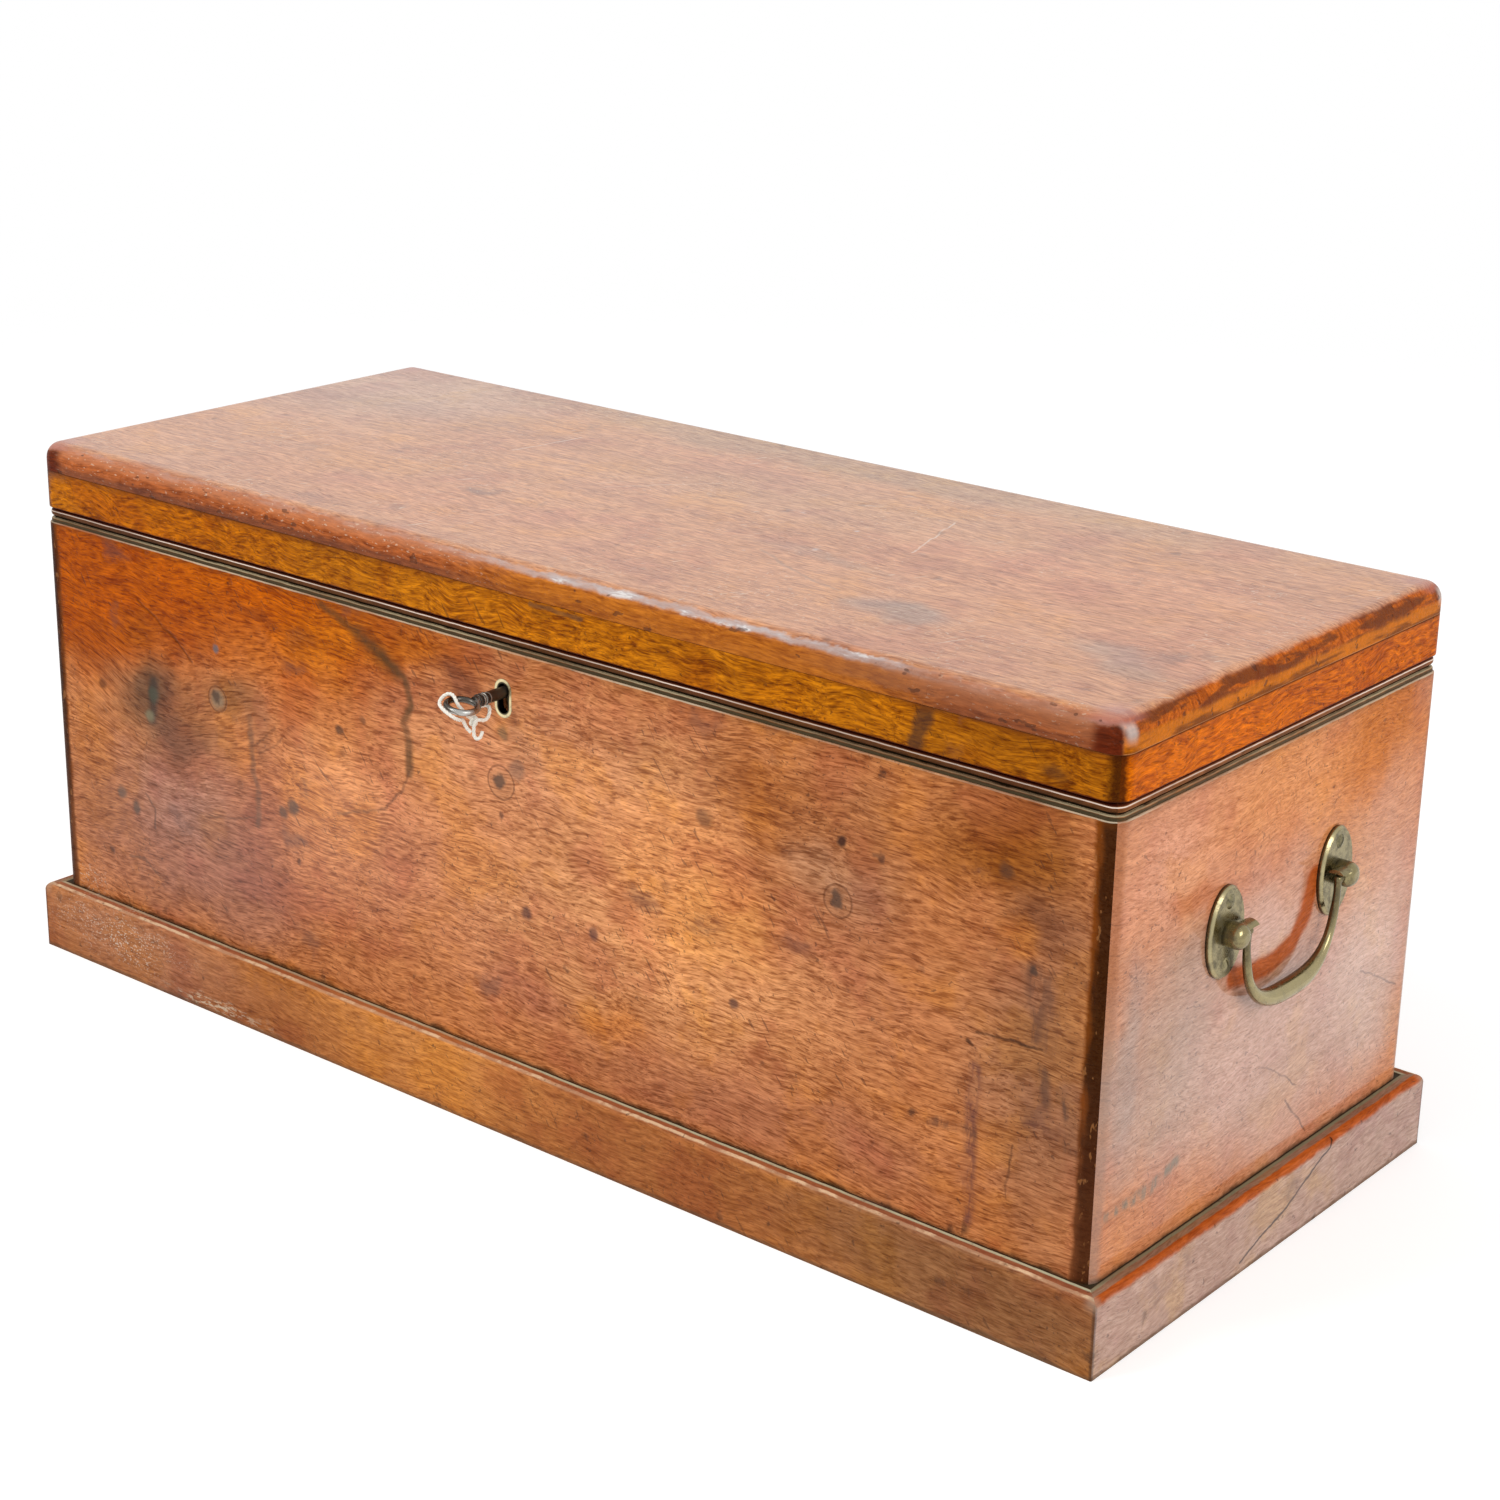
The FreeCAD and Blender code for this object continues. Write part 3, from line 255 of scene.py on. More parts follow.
# timber, with its grain along x or y; every pattern is solid, so it runs over the arrises
def timber(name, look):
    look = {**usual, **look}
    coat = Finish(name, rough=look["rough"], shine=look["shine"], haze=look["haze"],
                  hazeRough=look["hazeRough"], hazeIndex=look["hazeIndex"])

    def grained(run, across, detail, rough, output=0):
        run, across = run * look["fine"], across * look["fine"]
        stretch = (run, across, across) if look["along"] == "x" else (across, run, across)
        return noise(grain, stretch, detail, rough, output)

    grain = vector("ADD", coat.place, look["shift"])
    sway = vector("SUBTRACT", grained(2.6, 6.5, 2, 0.5, 1), (0.5, 0.5, 0.5))
    grain = vector("MULTIPLY_ADD", sway, (0.03, 0.03, 0.03), stray(grain, 24, look["ripple"], 1))
    if "bend" in look:
        grain = look["bend"](coat, grain)
    broad, streaks = grained(1.6, 20, 2, 0.5), grained(9, 150, 3, 0.6)
    flecks, fibres = grained(105, 520, 2, 0.55), grained(60, 1500, 2, 0.6)
    coat.cloudy, worn = coat.noise((9, 9, 9), 4, 0.6), coat.noise((60, 60, 60), 4, 0.65)
    coat.worn, coat.ragged = worn, worn - 0.5
    coat.colour = look["colour"]
    for middle, half, colour, share, *haze in look["patches"]:
        mask = cloud(coat.stray(14, 0.07), look["plane"], middle, half)
        coat.tint(mask * share, colour)
        for amount in haze:
            coat.haze += mask * amount
    drift = coat.noise((17, 17, 17), 4, 0.62)
    coat.tint(drift.rise(0.50, 0.64) * look["drift"], (0.84, 0.70, 0.74, 1), "MULTIPLY")
    coat.tint(drift.fall(0.36, 0.48) * look["drift"], (1.06, 1.02, 0.70, 1), "MULTIPLY")
    value = broad * 0.15 + streaks * 0.22 + flecks * 0.38 + fibres * 0.25
    tone = ((value - 0.5) * look["contrast"] + 0.5).most(0).least(1)
    low = look["low"] + (1,)
    coat.tint(1.0, blend(tone, low, look["high"] + (1,)), "MULTIPLY")
    dash = grained(78, 780, 1, 0.5).rise(look["dashFrom"], look["dashFrom"] + 0.08)
    pore = grained(210, 1900, 1, 0.5).rise(0.60, 0.72)
    coat.tint(dash * look["dash"], low, "MULTIPLY")
    coat.tint(pore * look["pore"], (0.42, 0.30, 0.22, 1), "MULTIPLY")
    coat.streaks, coat.grain, coat.tone = streaks, grain, tone
    coat.rough = (0.5 - streaks) * -0.16 + (coat.cloudy - 0.5) * 0.2 + dash * 0.08 + look["rough"]
    coat.height = fibres * 0.2 + flecks * 0.3 + streaks * 0.3 - dash * 0.35 - pore * 0.3
    return coat


def marks(coat, look):                          # lines, stains, spots and plugs listed for that face
    look = {**usual, **look}
    plane = look["plane"]
    loose = coat.stray(70, 0.006)
    for line, half, colour, share in look["lines"]:
        mask = away(loose, plane, line).fall(half * 0.0002, half * 0.0015) * share
        mask *= (coat.worn * 1.7).least(1)
        coat.tint(mask, colour)
        coat.height -= mask * 0.8
    broken = coat.noise((160, 160, 46), 3, 0.65).rise(0.42, 0.58) * 0.75 + 0.25
    for line, half, colour, share in look["stains"]:
        coat.tint(away(loose, plane, line).fall(half * 0.0002, half * 0.0012) * broken * share, colour)
    for middle, radius, colour, share in look["spots"]:
        mask = cloud(loose, plane, middle, (radius * 1.25, radius * 1.25), 0.35) * share
        coat.tint(mask, colour)
        coat.height -= mask * 0.7
    for middle, radius in look["plugs"]:
        out = vector("LENGTH", fromPoint(coat.stray(70, 0.0016), plane, metres(middle)), output=1)
        ring = abs(out - radius / 1000).fall(0.0001, 0.0009)
        core = cloud(coat.stray(160, 0.007), plane, (middle[0] - radius * 0.15, middle[1] + radius * 0.1),
                     (radius * 0.62, radius * 0.72), 0.45)
        coat.tint(out.fall(radius * 0.0008, radius * 0.001) * 0.25, (166, 112, 74))
        coat.tint(ring * 0.55, (96, 48, 18))
        coat.tint(core * 0.85, (84, 62, 50))
        coat.height -= ring * 0.8 + core * 0.4


def scattered(place, scale):                    # distance to the nearest of scattered points, and its numbers
    cells = wire(place.tree, "ShaderNodeTexVoronoi", {}, {"Vector": place, "Scale": scale})
    return cells, wire(place.tree, "ShaderNodeSeparateXYZ", sockets={0: cells.part(1)})


# knocks, nicks, bruises and scratches that years of use leave all over
def knocks(coat, dark, many=1.0, pale=None):
    cells, pick = scattered(coat.stray(130, 0.010), 46.0)
    dents = cells.fall(0.05, 0.17) * pick.rise(0.90 - 0.30 * many, 0.96 - 0.30 * many)
    coat.tint(dents * (0.25 + 0.45 * pick.part(1)), dark)
    cells, pick = scattered(coat.stray(300, 0.006), 120.0)
    nicks = cells.fall(0.04, 0.15) * pick.rise(0.93 - 0.3 * many, 0.97 - 0.3 * many)
    coat.tint(nicks * 0.6, dark)
    cells, pick = scattered(vector("MULTIPLY", coat.stray(70, 0.030), (0.8, 1.0, 1.2)), 26.0)
    bruises = cells.fall(0.06, 0.30) * pick.rise(0.80 - 0.20 * many, 0.88 - 0.20 * many)
    coat.tint(bruises * (0.18 + 0.42 * pick.part(1)), (0.13, 0.055, 0.045, 1))
    scratched = 0.0
    for turn, reach, step in (((0.5, 0.9, 0.3), 14, 5.0), ((1.9, 0.2, 1.1), 18, 9.0)):
        turned = wire(coat.tree, "ShaderNodeMapping", {"vector_type": "TEXTURE"},
                      {"Vector": coat.stray(18, 0.01, 1), "Rotation": turn})
        few = noise(vector("ADD", coat.place, (step, 0.2, step)), (13, 13, 13), 2, 0.5).rise(0.50, 0.60)
        scratched += noise(turned, (reach, 620, 620), 1, 0.4).rise(0.685, 0.72) * few
    coat.tint(scratched.least(1) * 0.50, pale or dark)
    coat.height -= dents * 1.3 + nicks * 0.8 + scratched * 0.5
    coat.rough += dents * 0.1 + nicks * 0.1


# how far a point is from the upright corner of the carcase, on each of its two faces
def fromCorner(coat):
    middle = (frontFace + backFace) / 2
    return endFace - abs(coat.x), (backFace - frontFace) / 2 - abs(coat.y - middle)


def carcaseEdges(coat, wide, dark=0.94):        # dark band along the upright corners, grime and painted shade above the plinth, dusty top arris
    alongX, alongY = fromCorner(coat)
    ragged = coat.ragged * wide * 0.45
    reach = alongX.most(alongY)
    band = (reach + ragged).fall(wide * 0.82, wide * 1.08)
    low = coat.z.rise(0.16, 0.06)
    outer = blend(low, (124, 60, 8), (112, 62, 34))
    deep = blend(low, (40, 11, 0), (64, 30, 14))
    uneven = coat.noise((120, 120, 34), 3, 0.6)
    tone = (reach + (uneven - 0.5) * wide * 1.1).rise(wide * 0.48, wide * 1.0)
    coat.tint(band * dark, blend(tone, deep, outer))
    chip = coat.noise((300, 300, 130), 2, 0.6).rise(0.63, 0.68) * band
    coat.tint(chip * 0.5, (164, 108, 62))
    arris = (reach + ragged * 0.3).fall(0.0006, 0.0020) * coat.z.fall(0.15, 0.20)
    coat.tint(arris * 0.60, (158, 126, 106))
    # grime and painted shade: a dark line along the crease just above the plinth
    grimeAndShade = (coat.z - coat.ragged * 0.008).fall(plinthTop - 0.001, plinthTop + 0.0032)
    coat.tint(grimeAndShade * 0.85, (36, 32, 22))
    coat.tint(coat.z.rise(boardTop - 0.0045, boardTop - 0.0010) * 0.30, (110, 56, 12))
    top = (coat.z + coat.ragged * 0.0010).rise(boardTop - 0.0007, boardTop - 0.0003)
    coat.tint(top * (coat.cloudy.rise(0.38, 0.56) * 0.55 + 0.20), (212, 196, 168))
    coat.rough += grimeAndShade * 0.2
    coat.haze *= (1 - band) * (1 - grimeAndShade)
    coat.height -= chip * 1.2


# bare, drier wood on the faces inside the box
def inside(coat, mask):
    coat.tint(mask * 0.85, blend(coat.streaks, (120, 72, 42), (168, 112, 72)))
    coat.rough += mask * 0.25
    coat.haze *= 1 - mask


# the carcase's front: figure bent round a knot, patches, stains, plugs and old lines
front = {
    "along": "x", "plane": "xz", "rough": 0.42, "contrast": 4.4, "haze": 0.10, "hazeRough": 0.22,
    "colour": (198, 124, 72), "low": (0.55, 0.42, 0.31), "high": (1.38, 1.50, 1.64), "dash": 0.75,
    "pore": 0.50, "dashFrom": 0.565,
    "knot": (-0.262, 0.168), "knotReach": (0.070, 0.052), "knotLift": 0.024,
    # the pale pink patches across the middle are a painted pool of reflected light; the rest give the wood's tone
    "patches": [                                # middle (x, z), half size, colour, share, haze
        ((-60, 130), (150, 70), (220, 143, 94), 0.75, 0.25),
        ((30, 205), (150, 60), (226, 152, 102), 0.8, 0.25),
        ((100, 130), (180, 80), (224, 154, 100), 0.85, 0.05),
        ((-150, 120), (120, 70), (194, 116, 76), 0.8, 0.35),
        ((-250, 85), (130, 65), (166, 104, 78), 0.9, 0.4),
        ((-332, 205), (62, 50), (178, 86, 10), 0.85, -0.05),
        ((-122, 145), (65, 70), (234, 152, 88), 0.65, 0.1),
        ((-257, 122), (60, 46), (186, 134, 112), 0.6, 0.1), ((110, 165), (70, 70), (242, 160, 92), 0.65, 0.1),
        ((110, 230), (60, 40), (224, 154, 98), 0.7, 0.1), ((0, 80), (60, 34), (206, 132, 86), 0.5),
        ((306, 140), (50, 50), (182, 122, 84), 0.5), ((-310, 236), (130, 70), (172, 78, 0), 1.0, -0.1),
        ((-260, 244), (160, 72), (182, 84, 0), 1.0, -0.1), ((-160, 262), (180, 66), (194, 94, 0), 1.0, -0.1),
        ((-75, 244), (80, 26), (186, 98, 18), 0.8, -0.05),
        ((-150, 206), (90, 34), (190, 102, 38), 0.6, -0.05), ((150, 150), (40, 35), (232, 152, 70), 0.5),
        ((10, 85), (50, 22), (176, 104, 74), 0.5, 0.05), ((75, 78), (30, 16), (214, 124, 34), 0.55),
        ((170, 60), (180, 40), (172, 105, 72), 0.7, 0.05),
        ((214, 205), (52, 60), (180, 134, 102), 0.62, 0.05), ((200, 225), (130, 30), (178, 104, 48), 0.65),
        ((303, 232), (56, 40), (144, 78, 4), 0.8, -0.05), ((-122, 232), (60, 32), (208, 112, 6), 0.75, -0.1),
        ((230, 150), (60, 60), (182, 112, 74), 0.55, 0.05), ((330, 130), (60, 130), (148, 98, 68), 0.8, 0.05),
        ((311, 201), (28, 16), (110, 62, 40), 0.6), ((299, 190), (14, 14), (204, 122, 40), 0.5),
        ((290, 52), (34, 14), (190, 112, 44), 0.5), ((-352, 200), (18, 70), (104, 50, 40), 0.8),
        ((-283, 212), (30, 16), (150, 76, 14), 0.5), ((-256, 164), (60, 48), (134, 80, 46), 0.62, 0.05),
        ((-272, 172), (26, 34), (92, 66, 46), 0.72), ((-244, 154), (46, 16), (114, 80, 58), 0.55, 0.05),
        ((-206, 184), (26, 20), (120, 78, 50), 0.6), ((-188, 165), (14, 30), (142, 92, 66), 0.45),
        ((-177, 240), (24, 10), (132, 62, 28), 0.55), ((-143, 236), (20, 10), (134, 74, 44), 0.5),
        ((-30, 238), (26, 14), (118, 66, 48), 0.6),
    ],
    "lines": [                                  # points (x, z), half width, colour, share
        ([(-278, 226), (-254, 214), (-234, 200)], 1, (96, 40, 4), 0.75),
        ([(-188.5, 179), (-188.5, 162), (-187.4, 147), (-184, 139), (-185, 118)], 2.4, (98, 72, 56), 0.6),
        ([(-188.5, 162), (-179, 168.5), (-169, 178)], 0.9, (120, 70, 42), 0.6),
        ([(-182, 160), (-171, 166), (-164, 173.5)], 0.8, (120, 70, 42), 0.55),
        ([(-130, 254), (-112, 248), (-99, 241.4), (-85, 236.5), (-69, 226.7), (-64.6, 214.3),
          (-70.4, 203.7), (-66.1, 193.9), (-67.5, 177.3)], 2.8, (92, 62, 34), 0.85),
        ([(-102, 244), (-85, 235.5), (-76, 230)], 6.2, (92, 60, 34), 0.65),
        ([(-67.5, 177.3), (-72.4, 166.6), (-85.8, 152.2), (-122, 140.9)], 1, (110, 66, 40), 0.6),
        ([(289.6, 143), (304, 144), (324, 144)], 0.8, (54, 26, 16), 0.9),
        ([(285, 138), (288, 135)], 1, (60, 32, 20), 0.9),
        ([(311, 94), (310, 85), (308, 67)], 0.6, (84, 48, 30), 0.6),
        ([(-280, 113), (-273, 106), (-272, 94)], 0.9, (92, 58, 44), 0.7),
        ([(-297, 71), (-284, 72), (-270, 65.5)], 1, (92, 62, 46), 0.6),
        ([(-225, 113), (-206.5, 116), (-188, 122)], 0.7, (110, 66, 42), 0.6),
        ([(-268, 182), (-268.5, 173.5), (-271, 160)], 4, (60, 48, 40), 0.9),
    ],
    "stains": [                                 # upright smears, broken up along the grain
        ([(289.6, 124), (288.6, 97), (288.6, 72), (289, 50)], 4.6, (104, 60, 56), 0.75),
        ([(266, 90.5), (283, 93.5), (290, 92)], 3.2, (104, 66, 50), 0.7),
        ([(318, 180), (320, 150)], 6, (104, 68, 52), 0.7), ([(326, 178), (328, 146)], 5, (112, 74, 56), 0.55),
        ([(325, 134), (327, 120)], 4.2, (92, 62, 50), 0.7),
        ([(337, 128), (340, 117.5), (342.4, 102.5)], 5.2, (86, 62, 52), 0.75),
        ([(287, 44), (280, 41)], 4, (66, 42, 34), 0.7),
    ],
    "plugs": [
        ((-2, 188), 8.8), ((210, 183), 8), ((-214.4, 183.7), 7.2),
    ],
    "spots": [                                  # middle (x, z), radius, colour, share
        ((-268.1, 174), 5.2, (74, 72, 58), 0.9), ((-272.5, 161), 4.2, (134, 126, 98), 0.65),
        ((-214.4, 183.7), 6.6, (140, 124, 100), 0.9), ((-214.2, 212.4), 3, (112, 100, 102), 0.9),
        ((150, 114), 3.2, (104, 70, 58), 0.8), ((211, 212), 3, (64, 30, 20), 0.95),
        ((0, 214.7), 4.2, (98, 84, 58), 0.6), ((9, 197), 6, (126, 90, 74), 0.6),
        ((130, 203), 5, (98, 58, 36), 0.65), ((15, 122), 4, (84, 52, 48), 0.75),
        ((60, 124), 3.4, (92, 56, 52), 0.75), ((300, 222), 5, (84, 54, 40), 0.7),
        ((-157.2, 135.5), 4.8, (86, 66, 54), 0.8), ((-164.3, 130.8), 4, (86, 64, 52), 0.75),
        ((-300.3, 109.1), 4.6, (92, 76, 66), 0.7), ((-288.8, 102.2), 4, (84, 68, 58), 0.75),
        ((-312.6, 170.4), 3.6, (96, 44, 16), 0.75), ((-118.1, 187.7), 3, (78, 52, 40), 0.8),
        ((-100.9, 197.9), 2.6, (92, 56, 40), 0.6), ((318, 180), 2.6, (66, 50, 44), 0.8),
    ],
}


def frontFigure(coat, grain):                   # grain lines part round the knot
    across, up = front["knot"]
    wide, high = front["knotReach"]
    gap = vector("LENGTH", vector("MULTIPLY_ADD", coat.place, onPlane("xz", 1 / wide, 1 / high),
                                  onPlane("xz", -across / wide, -up / high)), output=1)
    swirl = (gap * gap * -1.6).exponent() * front["knotLift"]
    return vector("ADD", grain, wire(coat.tree, "ShaderNodeCombineXYZ", {}, {"Z": swirl}))


def frontBoard():
    coat = timber("frontTimber", dict(front, bend=frontFigure))
    marks(coat, front)
    knocks(coat, (74, 44, 34), 1.0)
    flour = coat.noise((620, 900, 900), 2, 0.6).rise(0.58, 0.66)
    chalk = cloud(coat.stray(40, 0.02), "xz", (-335, 48), (30, 18), 0.0) * flour
    coat.tint(chalk * 0.60, (214, 196, 176))
    carcaseEdges(coat, 0.0110)
    inside(coat, coat.y.rise(frontFace + boardDeep - 0.0012, frontFace + boardDeep - 0.0004))
    return coat.close()


end = {
    "along": "y", "plane": "yz", "rough": 0.40, "contrast": 4.2, "haze": 0.35, "hazeRough": 0.10,
    "hazeIndex": 1.7, "colour": (214, 138, 92), "low": (0.70, 0.60, 0.48), "high": (1.22, 1.30, 1.38),
    "dash": 0.45, "pore": 0.38, "fine": 1.6, "drift": 0.5,
    "patches": [                                # middle (y, z), half size, colour, share, haze
        ((20, 245), (130, 52), (230, 150, 92), 0.8, -0.3), ((104, 238), (66, 50), (208, 118, 44), 0.8, -0.3),
        ((-63, 172), (34, 34), (158, 134, 118), 0.55), ((-80, 222), (60, 56), (222, 154, 122), 0.75, -0.15),
        ((20, 100), (170, 80), (204, 158, 138), 0.92, 0.55), ((0, 165), (70, 50), (206, 160, 142), 0.65, 0.3),
        ((110, 120), (60, 90), (214, 170, 148), 0.7, 0.45),
        ((-80, 125), (70, 80), (176, 138, 116), 0.75, 0.4),
        ((-114, 130), (18, 80), (168, 138, 124), 0.65, 0.2),
        ((-60, 205), (30, 14), (176, 86, 30), 0.45, -0.2),
    ],
    "stains": [
        ([(-120.5, 70.2), (-91.9, 69.6), (-62.2, 74.4)], 4, (128, 116, 98), 0.85),
    ],
    "bailShadowAndRub": [(-24, 154), (-6, 149.5), (14, 149.5), (30, 153.5), (41, 164), (46, 182)],
    "lines": [                                  # points (y, z), half width, colour, share
        ([(103, 116), (122, 106), (143, 94)], 0.6, (112, 74, 56), 0.7),
        ([(9, 97), (30, 86), (46, 74)], 0.6, (112, 74, 56), 0.7),
        ([(37, 69), (48, 58), (60, 45)], 0.7, (96, 62, 46), 0.75),
    ],
}


def endBoard(side):
    coat = timber("endTimber" + side, dict(end, shift=(0, 0, 0) if side == "Right" else (0.4, 0.7, 0.2)))
    marks(coat, end)
    knocks(coat, (104, 66, 48), 0.72)
    # painted shadow and reflection of the bail, with a rub mark: a dark orange arc behind the bail, kept free of
    # haze
    rub = away(coat.stray(60, 0.004), "yz", end["bailShadowAndRub"])
    coat.tint(rub.fall(0.0035, 0.0075) * 0.88, blend(coat.tone, (146, 56, 2), (196, 90, 12)))
    coat.haze *= rub.rise(0.0035, 0.0090)
    carcaseEdges(coat, 0.0018, 0.6)
    strip = (fromCorner(coat)[1] + coat.ragged * 0.006).fall(0.0040, 0.0100)
    coat.tint(strip * 0.60, blend(coat.z.rise(0.14, 0.20), (160, 130, 114), (150, 84, 44)))
    inside(coat, abs(coat.x).fall(endFace - boardDeep + 0.0004, endFace - boardDeep + 0.0012))
    return coat.close()


def backBoard():
    coat = timber("backTimber", dict(front, patches=(), shift=(0.9, 0.3, 0.5), rough=0.48))
    knocks(coat, (80, 46, 32), 0.8)
    carcaseEdges(coat, 0.0090)
    inside(coat, coat.y.fall(backFace - boardDeep + 0.0004, backFace - boardDeep + 0.0012))
    return coat.close()


# lid top: a hazy, sun-faded satin with grey patches, long scratches, and a worn nosing with a painted highlight
# strip along the front, painted highlights and a glint at the corners
top = {
    "along": "x", "plane": "xy", "rough": 0.40, "contrast": 4.6, "haze": 0.80, "hazeRough": 0.24,
    "colour": (202, 138, 94), "low": (0.62, 0.48, 0.36), "high": (1.34, 1.46, 1.60), "dash": 0.45,
    "pore": 0.35, "fine": 1.1, "drift": 0.7, "shift": (0.2, 0.5, 0.1),
    "patches": [                                # middle (x, y), half size, colour, share, haze
        ((-300, 100), (150, 120), (190, 146, 118), 0.7, 0.1), ((0, 145), (420, 45), (178, 142, 108), 0.6),
        ((60, 60), (220, 60), (200, 148, 108), 0.5), ((194, -68), (34, 20), (150, 126, 112), 0.65),
        ((297, -59), (34, 18), (164, 132, 114), 0.6), ((319, -69), (22, 18), (160, 128, 110), 0.5),
        ((240, 30), (160, 80), (210, 138, 94), 0.55), ((-80, -70), (220, 40), (212, 142, 98), 0.55),
        ((110, -20), (80, 12), (166, 126, 104), 0.45),
    ],
    "lines": [                                  # points (x, y), half width, colour, share
        ([(136, 19), (128, 50), (119, 79)], 0.6, (232, 206, 186), 0.7),
        ([(-151, 37), (-148, 60), (-144, 83)], 0.6, (230, 206, 188), 0.65),
        ([(-60, 10), (-40, 35), (-20, 60)], 0.5, (224, 196, 172), 0.5),
        ([(20, -50), (55, -36), (90, -20)], 0.5, (138, 92, 66), 0.5),
        ([(80, -28), (120, -50), (150, -58)], 1.2, (140, 104, 84), 0.5),
    ],
}


def lidTopBoard():
    coat = timber("lidTopTimber", top)
    marks(coat, top)
    knocks(coat, (124, 84, 62), 0.85, (226, 198, 174))
    ragged = coat.ragged * 0.005
    down = lidTop - coat.z
    overX, overY = abs(coat.x) - lidEnd, abs(coat.y - lidMiddle) - lidHalf
    onSide = (overX - overY).rise(-0.001, 0.002)    # 1 on the ends, 0 along front and back
    edge = (down + ragged * 0.5).rise(0.0004, 0.0022)
    golden = coat.x.band(-0.06, 0.03, 0.22, 0.28)
    brown = blend(golden, blend(coat.tone, (116, 46, 8), (200, 104, 44)),
                  blend(coat.tone, (140, 66, 2), (206, 118, 18)))
    coat.tint(edge * (1 - onSide) * 0.92, brown)
    shaded = coat.noise((70, 24, 150), 4, 0.62)
    coat.tint(edge * onSide * 0.95, blend(coat.tone, (150, 62, 0), (220, 110, 12)))
    coat.tint(edge * onSide * (down + ragged).rise(0.0070, 0.0095) * 0.55, (214, 124, 6))
    coat.tint(edge * onSide * shaded.rise(0.47, 0.58) * (down + ragged).fall(0.0070, 0.0110) * 0.80,
                (98, 50, 26))
    across = coat.noise((30, 190, 60), 3, 0.6)
    coat.tint(edge * onSide * across.rise(0.50, 0.64) * down.fall(0.0060, 0.0130) * 0.50, (112, 40, 2))
    coat.tint(onSide * down.rise(0.0110, 0.0125) * shaded.rise(0.40, 0.56) * 0.7, (70, 24, 6))
    coat.tint(onSide * down.rise(0.0149, 0.0154) * 0.5, (206, 150, 104))
    patchy = coat.noise((34, 150, 150), 4, 0.68)
    # painted highlight: a grey-white strip of reflected light along the rounded front nosing
    strip = (down + ragged * 0.9).band(0.0006, 0.0018, 0.0026, 0.0046) * (1 - onSide)
    coat.tint(strip * (golden * 0.55 + 0.08 + patchy.rise(0.42, 0.58) * 0.32), (196, 184, 182))
    coat.tint(strip * golden * patchy.rise(0.56, 0.62) * 0.7, (236, 232, 228))
    rosy = (down + ragged).fall(0.0045, 0.0085) * (1 - onSide) * (1 - golden) * edge
    coat.tint(rosy * 0.45, (206, 138, 100))
    flecks = coat.noise((260, 700, 700), 2, 0.6).rise(0.62, 0.68) * edge * (1 - onSide) * (1 - golden)
    coat.tint(flecks * 0.55, (226, 196, 170))
    mauve = coat.x.rise(0.16, 0.24) * (down + ragged).band(0.001, 0.003, 0.0100, 0.0130) * (1 - onSide)
    coat.tint(mauve * 0.60, (140, 88, 62))
    under = (down + ragged * 0.6).rise(0.0105, 0.0130) * (1 - onSide) * (1 - golden * 0.9)
    coat.tint(under * 0.55, (84, 50, 40))
    corner = (overX + ragged).rise(-0.0200, -0.0120) * (1 - onSide) * (down + ragged).rise(0.0020, 0.0050)
    coat.tint(corner * 0.92, blend(coat.tone, (58, 8, 2), (104, 34, 12)))
    # painted highlight: pink on the top near the corners
    pinkHighlight = overX.rise(-0.0260, -0.0120) * (overY + 0.0260).rise(0.0, 0.0140) * \
        (down + ragged).fall(0.0024, 0.0044)
    coat.tint(pinkHighlight * 0.55, (176, 112, 104))
    glint = (overY + ragged * 0.6).band(-0.0120, -0.0080, -0.0060, -0.0020) * \
        overX.rise(-0.0100, -0.0040) * down.band(0.0012, 0.0046, 0.0060, 0.0135)
    coat.tint(glint * 0.62, (222, 208, 200))
    coat.haze *= (1 - edge * (0.88 + onSide * 0.12)) * (1 - corner)
    nicked = coat.noise((90, 160, 160), 2, 0.6).rise(0.66, 0.70) * edge
    coat.tint(nicked * 0.6, (70, 40, 30))
    coat.height -= nicked * 1.5
    inside(coat, coat.z.fall(railTop + 0.0001, railTop + 0.0004))
    return coat.close()


# strips that go round the box: which way each one runs, and the look of one side
runs = {"Front": "x", "Back": "x", "Left": "y", "Right": "y"}


def forSide(look, side):
    ends = look["ends"] if runs[side] == "y" else {}
    return {**look, **ends, "along": runs[side], "shift": look["shifts"][side]}


# lid rails: orange, with brown under the nosing, a dark band at the corners, and painted shade along the lower
# edge
rail = {
    "rough": 0.42, "contrast": 4.6, "ripple": 0.016, "colour": (188, 108, 10), "low": (0.42, 0.31, 0.20),
    "high": (1.48, 1.64, 1.90), "dash": 0.5, "dashFrom": 0.57, "pore": 0.40,
    "patches": [
        ((-250, 276), (150, 30), (188, 98, 0), 0.8), ((10, 276), (110, 20), (196, 112, 10), 0.7),
        ((300, 276), (80, 30), (160, 90, 10), 0.8),
    ],
    "shifts": {"Front": (0, 0, 0), "Back": (0.6, 0, 0.3), "Left": (0.2, 0.8, 0.4), "Right": (0.1, 0.1, 0.9)},
    "ends": {"colour": (222, 111, 2), "patches": (), "low": (0.50, 0.38, 0.20), "high": (1.26, 1.34, 1.60)},
}


